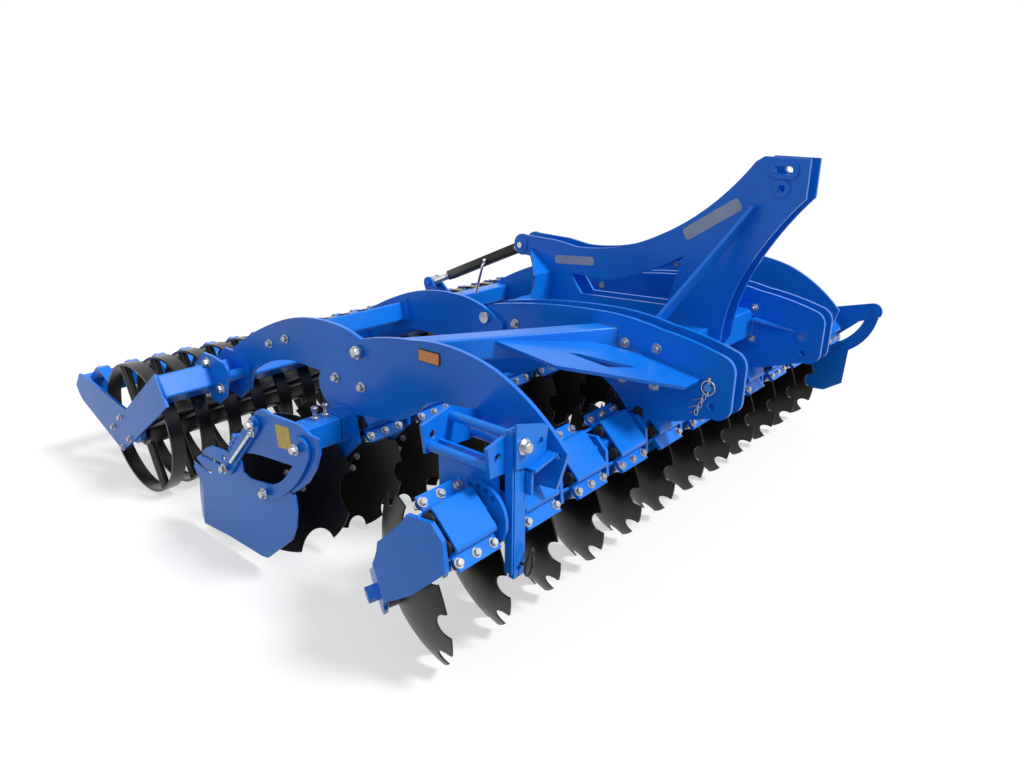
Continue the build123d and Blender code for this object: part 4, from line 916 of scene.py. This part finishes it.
# ---------------------------------------------------------------- frame
@dataclass(frozen=True)
class FrameTrim:
    """Plate bolts, reflectors, welds and bare plates of the frame.

    Attributes:
        plate_bolts: Y and Z of the bolts on the outer plates, in millimetres.
        link_bolts: Y and Z of the bolts on the link plates, in millimetres.
        across: Size of the bolts across their flats.
        link_outer: Distance of the link plates' outer face from the middle.
        link_inner: The same for the flange on their inner face.
        pivot: Y and Z of the rear section's pivot, in millimetres.
        reflector: Y and Z of the reflectors' middle, in millimetres.
        tube_ends: Y of the braces' inner and outer ends and of the head tube, in millimetres.
        brace_half: Half the width of the braces.
        brace_z: Bottom and top of the braces.
        head_half: Half the width of the head tube.
        head_z: Height of the head tube's middle.
        mast_face: Distance of the mast plates' outer faces from the middle.
        mast_fields: Y and Z in millimetres, width, height and turn in radians of their blank fields.
    """

    plate_bolts: Outline = ((668, 692), (525, 688))
    link_bolts: Outline = ((-251, 835), (-122, 832), (-251, 701), (-122, 701), (386, 811))
    across: float = 0.024
    link_outer: float = 0.4625
    link_inner: float = 0.3505
    pivot: Point = (525, 818)
    reflector: Point = (178, 871)
    tube_ends: tuple[float, float, float] = (-48, 360, -187)
    brace_half: float = 0.05
    brace_z: Point = (0.804, 0.884)
    head_half: float = 0.06
    head_z: float = 0.768
    mast_face: float = 0.052
    mast_fields: tuple[tuple[Point, float, float, float], ...] = (
        ((404, 1007), 0.205, 0.036, 0.07), ((-211, 1233), 0.250, 0.048, 0.572),
    )

    def bolts(self) -> None:
        """Heads on the outer faces of the plates, on both sides, and nuts behind the head tube's flanges."""
        pivots = on_faces(hexagonal(0.034, 0.014), ends_of("pins"), (self.pivot,))
        piece("pivot_heads", pivots, Coat.ZINC, "frame", True)
        outer = [(LAYOUT.middle_x + sign * self.link_outer, sign) for sign in (-1.0, 1.0)]
        inner = [(LAYOUT.middle_x + sign * self.link_inner, -sign) for sign in (-1.0, 1.0)]
        head = bolt(self.across)
        sides = on_faces(head, ends_of("side_plates"), self.plate_bolts, 0.2)
        links = on_faces(head, outer, self.link_bolts, 0.4)
        piece("plate_bolts", joined([sides, links]), Coat.ZINC, "frame", True)
        nuts = on_faces(nut(self.across * 0.8), inner, self.link_bolts[:4], 0.1)
        piece("head_tube_nuts", nuts, Coat.ZINC, "frame", True)

    def reflectors(self) -> None:
        """Amber reflector in a thin frame on each outer plate."""
        rim = slab(rounded(0.096, 0.042, 0.005), 0.004, 0.001)
        lens = slab(rounded(0.090, 0.036, 0.004), 0.0058, 0.0014)
        for name, face in zip(("left", "right"), ends_of("side_plates")):
            back, front = (on_faces(part, [face], (self.reflector,)) for part in (rim, lens))
            piece(f"reflector_rim_{name}", back, Coat.BLACK, "frame")
            piece(f"reflector_{name}", front, Coat.REFLECTOR, "frame", True)

    def welds(self) -> None:
        """Beads where plates stand on the beams, and round the tubes' ends."""
        half, plate = LAYOUT.beam / 2, 0.015
        (left, _), (right, _) = ends_of("side_plates")
        inner = self.link_inner + 0.012
        steps = (self.link_outer, self.link_outer - plate, inner + plate, inner)
        faces = [left, left + plate, right - plate, right]
        faces += [LAYOUT.middle_x + sign * step for sign in (-1, 1) for step in steps]
        beads = [
            weld((x, y - half, z + half), (x, y + half, z + half), 0.005)
            for x in faces
            for y, z in (LAYOUT.front_beam, LAYOUT.rear_beam)
        ]
        link_y, side_y, head_y = (LAYOUT.spot(0, y, 0)[1] for y in self.tube_ends)
        head_z = (self.head_z - self.head_half, self.head_z + self.head_half)
        for sign, end in ((-1, left + plate), (1, right - plate)):
            for x, y in ((LAYOUT.middle_x + sign * self.link_outer, link_y), (end, side_y)):
                beads += beads_round(x, (y - self.brace_half, y + self.brace_half), self.brace_z)
            x = LAYOUT.middle_x + sign * self.link_inner
            beads += beads_round(x, (head_y - self.head_half, head_y + self.head_half), head_z)
        piece("frame_welds", joined(beads), Coat.BLUE_BOLT, "frame", True)

    def bare_plates(self) -> None:
        """Plain grey fields on the mast plates, with no lettering."""
        for name, sign in (("left", -1.0), ("right", 1.0)):
            face = (LAYOUT.middle_x + sign * self.mast_face, sign)
            for number, (spot, width, height, turn) in enumerate(self.mast_fields, 1):
                plate = slab(rounded(width, height, 0.012), 0.0006, 0.0002)
                pale = on_faces(plate, [face], (spot,), turn * -sign)
                piece(f"mast_bare_field_{name}_{number}", pale, Coat.GREY, "frame")

    def build(self) -> None:
        """All trim of the frame."""
        self.bolts()
        self.reflectors()
        self.welds()
        self.bare_plates()


@dataclass(frozen=True)
class HitchPins:
    """Linch pins with their rings and chains at the ends of the lower hitch pins.

    Attributes:
        pin_y: Y of the hitch pins, in millimetres.
        pin_z: Z of the hitch pins, in millimetres.
        pin_end: Distance of the linch pins from the middle.
    """

    pin_y: float = -460.0
    pin_z: float = 745.0
    pin_end: float = 0.474

    def build(self) -> None:
        """A cross pin, a wire ring and a short chain on each pin's outer end."""
        parts = []
        for sign in (-1, 1):
            _, y, z = LAYOUT.spot(0, self.pin_y, self.pin_z)
            x = LAYOUT.middle_x + sign * self.pin_end
            profile = [(0.0035, -0.030), (0.0045, -0.028), (0.0045, 0.024), (0.007, 0.028), (0.007, 0.036)]
            parts.append(turned(profile, 12).at((x, y, z)))
            ring = [
                (x + sign * 0.003, y + 0.024 * math.cos(a), z + 0.024 * math.sin(a))
                for a in np.linspace(0, TAU, 13)[:-1]
            ]
            parts.append(wire(ring, 0.0024, closed=True, steps=4))
            for link in range(5):
                cx, cy, cz = x + sign * 0.004, y + 0.010 + 0.006 * link, z - 0.034 - 0.015 * link
                wide, deep = (0.006, 0.0) if link % 2 else (0.0, 0.006)
                loop = [
                    (cx + wide * math.cos(a), cy + deep * math.cos(a), cz + 0.011 * math.sin(a))
                    for a in np.linspace(0, TAU, 9)[:-1]
                ]
                parts.append(wire(loop, 0.0016, closed=True, steps=3))
        piece("linch_pins", joined(parts), Coat.ZINC, "frame", True)


# ---------------------------------------------------------------- stand
@dataclass(frozen=True)
class Stand:
    """Front plate with its ledge, head bolt, and the leg's loop pin.

    Attributes:
        plate: X and Z round the front plate, in millimetres, anticlockwise.
        ledge: X and Z round the ledge under it.
        web: X and Z round the strip under the ledge.
        bolt_at: X and Z of the head bolt.
        hole_at: X and Z of the plate's hole.
        front: Y of the plate's back face.
        loop: Bends of the loop pin, from the leg's front face near its foot.
    """

    plate: Outline = (
        (-1288, 694), (-1236, 682), (-1158, 706), (-1152, 778), (-1166, 790), (-1288, 824),
    )
    ledge: Outline = ((-1238, 672), (-1140, 690), (-1140, 700), (-1238, 682))
    web: Outline = ((-1238, 600), (-1230, 600), (-1226, 676), (-1238, 676))
    bolt_at: Point = (-1257, 752)
    hole_at: Point = (-1184, 744)
    front: float = -304.5
    loop: tuple[Place, ...] = (
        (8, 10, 12), (8, -14, 12), (18, -22, 30), (30, -22, 56), (38, -20, 40), (34, -22, -10),
        (16, -22, -26), (4, -20, -8), (12, -20, 20),
    )

    def build(self) -> None:
        """Plate, ledge and bolt on the frame; loop pin on the leg."""
        back = LAYOUT.spot(0, self.front, 0)[1]
        hole = front_view((self.hole_at,))[0]
        sheet = across_y(cut_sheet(front_view(self.plate), [hole_round(*hole, 0.012)], 0.008), back)
        shelf = across_y(slab(front_view(self.ledge), 0.034), back)
        strip = across_y(slab(front_view(self.web), 0.020), back)
        piece("stand_front_plate", joined([sheet, shelf, strip]), Coat.BLUE, "frame")
        x, z = front_view((self.bolt_at,))[0]
        head = bolt(0.030).at((x, back - 0.008, z), facing((0.0, -1.0, 0.0), 0.3))
        piece("stand_bolt", head, Coat.ZINC, "frame", True)
        leg_low, leg_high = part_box("stand_leg")
        x = (leg_low[0] + leg_high[0]) / 2
        y, z = leg_low[1], leg_low[2] + 0.030
        loop = [(x + dx / 1000, y + dy / 1000, z + dz / 1000) for dx, dy, dz in self.loop]
        piece("stand_loop_pin", wire(loop, 0.0048), Coat.BLACK, "leg", True)


@dataclass(frozen=True)
class Corners:
    """Small gusset fins on the inner faces of the link plates, beside the lower hitch pins.

    Attributes:
        face: Distance of the plates' inner face from the middle.
        reach: Distance of the fin's far corner from the middle.
        thickness: Thickness of the fins.
    """

    face: float = 0.3625
    reach: float = 0.300
    thickness: float = 0.010

    def build(self) -> None:
        """One three-cornered fin on each side, level with the outer fins."""
        fins = []
        tip, back = LAYOUT.spot(0, -440, 755)[1:], LAYOUT.spot(0, -262, 788)[1:]
        for sign in (-1, 1):
            x0, x1 = LAYOUT.middle_x + sign * self.face, LAYOUT.middle_x + sign * self.reach
            low = np.array([[x0, *tip], [x1, *back], [x0, *back]])
            order = [0, 1, 2] if sign < 0 else [0, 2, 1]
            rings = np.stack([low[order], low[order] + np.array([0.0, 0.0, self.thickness])])
            fins.append(ringed(rings))
        piece("link_plate_inner_fins", joined(fins), Coat.BLUE, "frame")


# ---------------------------------------------------------------- rear section
@dataclass(frozen=True)
class RearTrim:
    """Bolts of the rear plates, brackets, end plates and scrapers, and their welds.

    Attributes:
        rings: Number of the roller's rings.
        ring_pitch: Spacing of the rings.
        tube_corner: Distance of the front tube's corners from its middle.
        tube_turn: Turn of the front tube about its length, in degrees.
        flange: Y and Z of the bolts on the rear plates, in millimetres.
        end_bolts: The same on the roller frame's end plates.
        straps: The same of the bolts that hold the front tube's straps.
        ears: The same on the brackets' ears.
        tube_at: Y and Z of the front tube's middle, in millimetres.
        end_plate: Thickness of the end plates.
        scraper_at: Y and Z of the scrapers' bolts, in millimetres.
        scraper_up: Direction square to the scrapers' strips.
    """

    rings: int = 22
    ring_pitch: float = 0.132
    tube_corner: float = 0.0707
    tube_turn: float = 55.0
    flange: Outline = ((993, 771), (1107, 729))
    end_bolts: Outline = ((1812, 326), (1899, 260), (1746, 244), (1832, 178))
    straps: Outline = ((1502, 565), (1432, 470))
    ears: Outline = ((1408, 612), (1318, 520))
    tube_at: Point = (1430, 538)
    end_plate: float = 0.012
    scraper_at: Point = (2096, 472)
    scraper_up: Place = (0.0, 98.0, 56.0)

    def bolts(self) -> None:
        """Zinc bolts on every plate of the rear section."""
        brackets = ends_of("roller_brackets")
        heads = [
            on_faces(bolt(0.022), ends_of("rear_plates"), self.flange, 0.25),
            on_faces(bolt(0.019), ends_of("roller_ends"), self.end_bolts, 0.25),
            on_faces(bolt(0.022), brackets, self.straps, 0.25),
        ]
        piece("rear_plate_bolts", joined(heads), Coat.ZINC, "rear_section", True)
        piece("bracket_bolts", on_faces(bolt(0.028), brackets, self.ears), Coat.ZINC, "rear_section", True)

    def scrapers(self) -> None:
        """One bolt on every scraper."""
        first = LAYOUT.middle_x - self.ring_pitch * (self.rings - 1) / 2
        up = np.array(self.scraper_up)
        up /= np.linalg.norm(up)
        _, y, z = LAYOUT.spot(0, *self.scraper_at)
        places = np.array([[first + self.ring_pitch * i, y, z] for i in range(self.rings)])
        turns = np.repeat(facing(tuple(up))[None], self.rings, axis=0)
        piece("scraper_bolts", bolt(0.019).copies(turns, places), Coat.ZINC, "rear_section", True)

    def welds(self) -> None:
        """Beads round the ends of the roller frame's tubes."""
        _, y, z = LAYOUT.spot(0, *self.tube_at)
        angles = [math.radians(self.tube_turn + 45 + 90 * corner) for corner in range(4)]
        corners = [(y + self.tube_corner * math.cos(a), z + self.tube_corner * math.sin(a)) for a in angles]
        beads = [
            weld((x - out * self.end_plate, ya, za), (x - out * self.end_plate, yb, zb), 0.004)
            for x, out in ends_of("roller_ends")
            for (ya, za), (yb, zb) in zip(corners, corners[1:] + corners[:1])
        ]
        piece("roller_frame_welds", joined(beads), Coat.BLUE_BOLT, "rear_section", True)

    def build(self) -> None:
        """All trim of the rear section."""
        self.bolts()
        self.scrapers()
        self.welds()


# ---------------------------------------------------------------- turnbuckle
@dataclass(frozen=True)
class Turnbuckle:
    """Threads, locknut, square sleeve, collars and hanging bar of the turnbuckle.

    Attributes:
        lower_pin: Y and Z of the lower pin, in millimetres.
        upper_thread: Start and end of the bare thread above the sleeve, from the upper pin.
        locknut: Start and height of the locknut.
        lower_start: Start of the lower thread.
        lower_gap: Distance of the lower thread's end from the lower pin.
        sleeve: Start and length of the sleeve.
        collars: Starts of the collars at its ends.
        grip: Distance of the bar from the upper pin.
        bends: Bends of the hanging bar from there, in millimetres.
    """

    lower_pin: Point = (1328, 773)
    upper_thread: Point = (0.030, 0.052)
    locknut: Point = (0.040, 0.018)
    lower_start: float = 0.572
    lower_gap: float = 0.026
    sleeve: Point = (0.077, 0.470)
    collars: Point = (0.064, 0.548)
    grip: float = 0.265
    bends: tuple[Place, ...] = ((-24, 0, -12), (-40, 4, -22), (-46, 16, -70), (-46, 44, -165))

    def line(self) -> tuple[np.ndarray, np.ndarray, float]:
        """Line of the turnbuckle.

        Returns:
            Upper pin, direction and length between the pins.
        """
        swing = hinge_of("screw_tube")
        slide = hinge_of("screw_rod")
        top = np.array(swing["pos_m"], float)
        top[0] = LAYOUT.middle_x
        run = np.array(slide["axis"], float)
        bottom = np.array(LAYOUT.spot(0, *self.lower_pin))
        return top, run, float((bottom - top) @ run)

    def thread(self, start: float, end: float, radius: float) -> Surface:
        """Thread along Z: a bar whose radius is radius + 1.2 mm sin(TAU z / 4 mm).

        Args:
            start: Height of its lower end.
            end: Height of its upper end.
            radius: Mean radius.

        Returns:
            The thread.
        """
        height = np.arange(start, end, 0.001)
        wave = radius + 0.0012 * np.sin(height / 0.004 * TAU)
        return turned(list(zip(wave.tolist(), height.tolist())), 20)

    def build(self) -> None:
        """Upper thread, locknut, sleeve, collars and bar on the tube; lower thread on the rod."""
        pin, run, length = self.line()
        top, turn = tuple(pin), facing(tuple(run))
        start, height = self.locknut
        lock = joined([self.thread(*self.upper_thread, 0.0165), hexagonal(0.052, height, start)])
        piece("turnbuckle_upper_locknut", lock.at(top, turn), Coat.ZINC, "screw_tube", True)
        lower = self.thread(self.lower_start, length - self.lower_gap, 0.0157)
        piece("turnbuckle_lower_thread", lower.at(top, turn), Coat.CHROME, "screw_rod", True)
        start, height = self.sleeve
        sleeve = slab(rounded(0.046, 0.046, 0.004, 4), height, 0.001).at((0.0, 0.0, start))
        piece("turnbuckle_sleeve", sleeve.at(top, turn), Coat.BLACK, "screw_tube", True)
        collar = turned([(0.0215, 0.0), (0.0235, 0.002), (0.0235, 0.010), (0.0215, 0.012)], 24)
        ends = joined([collar.at((0.0, 0.0, start)) for start in self.collars])
        piece("turnbuckle_collars", ends.at(top, turn), Coat.ZINC, "screw_tube", True)
        grip = pin + run * self.grip
        bar = turned([(0.006, -0.040), (0.0075, -0.037), (0.0075, 0.040), (0.006, 0.043)], 16)
        handle = wire([tuple(grip + np.array(bend) / 1000) for bend in self.bends], 0.0065)
        parts = joined([bar.at(tuple(grip), facing((1.0, 0.0, 0.0))), handle])
        piece("turnbuckle_bar", parts, Coat.CHROME, "screw_tube", True)


# ---------------------------------------------------------------- deflectors
@dataclass(frozen=True)
class Deflectors:
    """Bolts of both deflectors; slotted sheet, toothed quadrant, pull rod and blank plate of the left one.

    Attributes:
        sheet: Y and Z round the left sheet, in millimetres, anticlockwise, with its slots open to the rear.
        window: The closed opening in its upper strip.
        flange: The folded rear edge, from the fold's top to its bottom.
        fold: Sideways share of the folded edge.
        horn: Lower horn of the left bracket, behind the sickle-shaped link.
        quadrant: Toothed quadrant of the left bracket.
        far_pin: Y and Z of the left follow link's lower pin.
        link: Y and Z of the left lead link's upper end, where its row of teeth is measured from.
        link_run: Way from there to its lower end.
        teeth: Places of the teeth, as shares of that way.
        tooth_off: Offset of the teeth from the link's middle.
        rod: Ends of the pull rod.
        screws: X of the set screws on the rear beam.
        blank_at: Y and Z of the blank plate.
    """

    sheet: Outline = (
        (1177, 38), (1149, 217), (1185, 257), (1201, 282), (1190, 299), (1132, 287), (1074, 284),
        (1062, 305), (1114, 303), (1169, 322), (1166, 334), (1140, 348), (988, 347), (985, 363),
        (1115, 360), (1120, 368), (1085, 394), (1044, 414), (944, 424), (850, 424), (838, 400),
        (836, 372), (792, 361), (667, 380), (600, 394), (522, 390), (517, 384), (513, 337),
        (529, 262), (561, 203), (679, 104), (730, 62), (770, 54), (988, 52),
    )
    window: Outline = ((970, 400), (972, 378), (910, 382), (907, 407))
    flange: Outline = ((1149, 217), (1177, 38), (1210, 62), (1219, 149), (1200, 256))
    fold: float = 0.3
    horn: Outline = (
        (415, 640), (361, 636), (362, 585), (390, 524), (441, 458), (521, 398), (567, 393), (520, 450),
        (480, 520), (465, 590),
    )
    quadrant: Outline = (
        (839, 451), (893, 443), (911, 485), (900, 500), (890, 490), (873, 507), (868, 492), (848, 508),
        (841, 496), (822, 516), (818, 504), (804, 523), (787, 490),
    )
    far_pin: Point = (667.8, 354.8)
    link: Point = (708, 597)
    link_run: Point = (213, -228)
    teeth: tuple[float, ...] = (0.44, 0.54, 0.64, 0.74, 0.84)
    tooth_off: Point = (24, 22)
    rod: Outline = ((722, 560), (872, 410))
    screws: Point = (-1262, -1216)
    blank_at: Point = (551, 590)

    def side(self, name: str, out: float) -> None:
        """Bolts on the pins of a deflector's links.

        Args:
            name: Side of the machine, "left" or "right".
            out: Way that the side looks along X, -1 or 1.
        """
        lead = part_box(f"deflector_{name}_lead")
        x = lead[0][0] if out < 0 else lead[1][0]
        heads = []
        for joint in frame["joints"]:
            if joint["child"] in (f"{name}_lead", f"{name}_sheet"):
                spot = joint["pos_m"]
                heads.append(bolt(0.024).at((x, spot[1], spot[2]), facing((out, 0.0, 0.0))))
        piece(f"deflector_{name}_lead_bolts", joined(heads), Coat.ZINC, f"{name}_lead", True)
        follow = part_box(f"deflector_{name}_follow")
        ends = [hinge_of(f"{name}_follow")["pos_m"]]
        if name == "left":
            ends.append(LAYOUT.spot(0, *self.far_pin))
        face = follow[0][0] if out < 0 else follow[1][0]
        heads = [bolt(0.024).at((face, end[1], end[2]), facing((out, 0.0, 0.0))) for end in ends]
        piece(f"deflector_{name}_follow_bolts", joined(heads), Coat.ZINC, f"{name}_follow", True)

    def left_sheet(self) -> None:
        """Sheet with its slots, window and folded rear edge, in place of the plain one."""
        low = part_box("deflector_left_sheet")[0][0]
        flat = cut_sheet(side_view(self.sheet), [side_view(self.window)], 0.006)
        edge = slab(side_view(self.flange), 0.005, 0.0005)
        bent = across_x(edge, low)
        y_fold = LAYOUT.spot(0, 1149, 0)[1] + (0.217 - bent.points[:, 2]) * 28 / 179
        bent.points[:, 0] += self.fold * np.maximum(bent.points[:, 1] - y_fold, 0.0)
        whole = joined([across_x(flat, low), bent])
        sheet = piece("deflector_left_slotted_sheet", whole, Coat.BLUE, "left_sheet")
        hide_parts("deflector_left_sheet")

    def left_fittings(self) -> None:
        """Horn, quadrant, teeth, pull rod, set screws and the blank plate."""
        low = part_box("deflector_left_sheet")[0][0]
        horn = across_x(slab(side_view(self.horn), 0.010), low + 0.001)
        quadrant = across_x(slab(side_view(self.quadrant), 0.010), low + 0.012)
        piece("deflector_left_horn_and_quadrant", joined([horn, quadrant]), Coat.BLUE, "left_arm")
        link_low = low - 0.012
        teeth = []
        for share in self.teeth:
            y, z = (a + share * run + off for a, run, off in zip(self.link, self.link_run, self.tooth_off))
            outline = ((y - 9, z + 4), (y - 1, z - 8), (y + 9, z + 3), (y + 1, z + 11))
            teeth.append(across_x(slab(side_view(outline), 0.010), link_low))
        piece("deflector_left_link_teeth", joined(teeth), Coat.BLUE, "left_lead")
        rod = side_view(self.rod)
        ends = np.array([[link_low - 0.010, y, z] for y, z in rod])
        along = np.linspace(0, 1, 12)[:, None]
        bar = swept(ends[0] + along * (ends[1] - ends[0]), np.full(12, 0.0065), 14)
        eye = bolt(0.018).at((link_low, *rod[0]), facing((-1.0, 0.0, 0.0)))
        piece("deflector_left_pull_rod", joined([bar, eye]), Coat.CHROME, "left_lead", True)
        top = LAYOUT.rear_beam[1] + LAYOUT.beam / 2 + 0.0065
        stud = turned([(0.008, 0.0), (0.008, 0.040), (0.007, 0.041)], 14)
        screw = joined([stud, hexagonal(0.024, 0.014), hexagonal(0.024, 0.014, 0.036)])
        places = [(LAYOUT.spot(x, 0, 0)[0], LAYOUT.rear_beam[0], top) for x in self.screws]
        screws = joined([screw.at(place) for place in places])
        piece("deflector_left_set_screws", screws, Coat.ZINC, "left_arm", True)
        plate = slab(rounded(0.078, 0.080, 0.004), 0.0008, 0.0002)
        blank = plate.at((low, *side_view((self.blank_at,))[0]), facing((-1.0, 0.0, 0.0), 0.1))
        piece("deflector_blank_plate", blank, Coat.YELLOW, "left_arm")

    def build(self) -> None:
        """Both deflectors."""
        self.side("left", -1.0)
        self.side("right", 1.0)
        self.left_sheet()
        self.left_fittings()


# ---------------------------------------------------------------- studio
@dataclass(frozen=True)
class Studio:
    """Floor, soft light and camera.

    Attributes:
        lens: Focal length in millimetres on a 36 mm wide sensor.
        azimuth: Camera's azimuth in degrees; 0 looks along +Y and 90 along -X.
        elevation: Camera's elevation in degrees.
        roll: Camera's roll in degrees.
        sky: Strength of the sky's light.
        stand: Place of the camera, in millimetres.
    """

    lens: float = 26.88
    azimuth: float = -49.956
    elevation: float = 19.407
    roll: float = 0.563
    sky: float = 0.42
    stand: Place = (-2718.8, -1496.8, 1592.1)

    def floor(self) -> None:
        """Wide floor: pale where it is seen, with the shadow, and a dull yard to the light it sends up."""
        material = bpy.data.materials.new("studio_floor")
        material.use_nodes = True
        tree = material.node_tree
        yard = tree.nodes["Principled BSDF"]
        yard.inputs["Base Color"].default_value = (0.20, 0.20, 0.21, 1.0)
        yard.inputs["Roughness"].default_value = 0.95
        pale = tree.nodes.new("ShaderNodeBsdfDiffuse")
        pale.inputs["Color"].default_value = (0.95, 0.95, 0.955, 1.0)
        glow = tree.nodes.new("ShaderNodeEmission")
        glow.inputs["Color"].default_value = (1.0, 1.0, 1.0, 1.0)
        glow.inputs["Strength"].default_value = 1.08
        seen = tree.nodes.new("ShaderNodeMixShader")
        seen.inputs["Fac"].default_value = 0.52
        tree.links.new(pale.outputs[0], seen.inputs[1])
        tree.links.new(glow.outputs[0], seen.inputs[2])
        choice = tree.nodes.new("ShaderNodeMixShader")
        tree.links.new(self.seen_ray(tree), choice.inputs["Fac"])
        tree.links.new(yard.outputs[0], choice.inputs[1])
        tree.links.new(seen.outputs[0], choice.inputs[2])
        tree.links.new(choice.outputs[0], tree.nodes["Material Output"].inputs["Surface"])
        mesh = bpy.data.meshes.new("studio_floor")
        corners = ((-1, -1), (1, -1), (1, 1), (-1, 1))
        mesh.from_pydata([(60.0 * x, 60.0 * y, 0) for x, y in corners], [], [(0, 1, 2, 3)])
        mesh.materials.append(material)
        obj = bpy.data.objects.new("studio_floor", mesh)
        bpy.context.scene.collection.objects.link(obj)

    @staticmethod
    def seen_ray(tree: bpy.types.NodeTree) -> bpy.types.NodeSocket:
        """Output that is 1 for rays from the camera and for mirrored and refracted rays, and else 0.

        Args:
            tree: Node tree that it joins.

        Returns:
            The output.
        """
        ray = tree.nodes.new("ShaderNodeLightPath")
        first, both = tree.nodes.new("ShaderNodeMath"), tree.nodes.new("ShaderNodeMath")
        first.operation = both.operation = "MAXIMUM"
        tree.links.new(ray.outputs["Is Camera Ray"], first.inputs[0])
        tree.links.new(ray.outputs["Is Glossy Ray"], first.inputs[1])
        tree.links.new(first.outputs[0], both.inputs[0])
        tree.links.new(ray.outputs["Is Transmission Ray"], both.inputs[1])
        return both.outputs[0]

    def lamp(self, name: str, toward: Place, spread: float, strength: float) -> None:
        """Soft distant light.

        Args:
            name: Name of the light.
            toward: Direction from the machine to the light.
            spread: Angle that the light fills, in degrees.
            strength: Strength in watts per square metre.
        """
        data = bpy.data.lights.new(name, "SUN")
        data.angle = math.radians(spread)
        data.energy = strength
        obj = bpy.data.objects.new(name, data)
        bpy.context.scene.collection.objects.link(obj)
        turn = (-Vector(toward)).to_track_quat("-Z", "Y").to_matrix().to_4x4()
        obj.matrix_world = Matrix.Translation(Vector(toward) * 8.0) @ turn

    def world(self) -> None:
        """Even pale sky, white where the camera or a reflection sees it."""
        world = bpy.data.worlds.new("studio")
        world.use_nodes = True
        tree = world.node_tree
        sky = tree.nodes["Background"]
        sky.inputs["Color"].default_value = (1.0, 1.0, 1.0, 1.0)
        level = tree.nodes.new("ShaderNodeMapRange")
        level.inputs["To Min"].default_value = self.sky
        level.inputs["To Max"].default_value = 1.0
        tree.links.new(self.seen_ray(tree), level.inputs["Value"])
        tree.links.new(level.outputs["Result"], sky.inputs["Strength"])
        bpy.context.scene.world = world

    def camera(self) -> None:
        """Camera ahead of the left end, from above."""
        a, e, r = (math.radians(v) for v in (self.azimuth, self.elevation, self.roll))
        back = Vector((math.sin(a) * math.cos(e), -math.cos(a) * math.cos(e), math.sin(e)))
        right = Vector((math.cos(a), math.sin(a), 0.0))
        up = back.cross(right)
        side = right * math.cos(r) + up * math.sin(r)
        top = up * math.cos(r) - right * math.sin(r)
        data = bpy.data.cameras.new("camera")
        data.lens = self.lens
        data.sensor_width = 36.0
        data.clip_end = 200.0
        obj = bpy.data.objects.new("camera", data)
        bpy.context.scene.collection.objects.link(obj)
        turn = Matrix((side, top, back)).transposed().to_4x4()
        obj.matrix_world = Matrix.Translation(LAYOUT.spot(*self.stand)) @ turn
        bpy.context.scene.camera = obj

    def build(self) -> None:
        """Set the stage."""
        bpy.context.scene.view_settings.view_transform = "Standard"
        self.world()
        self.floor()
        self.lamp("key", (0.20, -0.62, 0.76), 14.0, 2.7)
        self.lamp("fill", (-0.75, -0.45, 0.48), 40.0, 0.35)
        self.camera()


def main() -> None:
    """Build every class in order, then set the stage."""
    logging.basicConfig(level=logging.INFO, format="%(name)s: %(message)s")
    frame_parts = [PackedParts(), Clamps(), DiscHubs(), FrameTrim(), HitchPins(), Corners(), Stand()]
    for part in [*frame_parts, RearTrim(), Turnbuckle(), Deflectors()]:
        part.build()
        LOG.info("%s done", type(part).__name__)
    Studio().build()


if __name__ == "__main__":
    main()
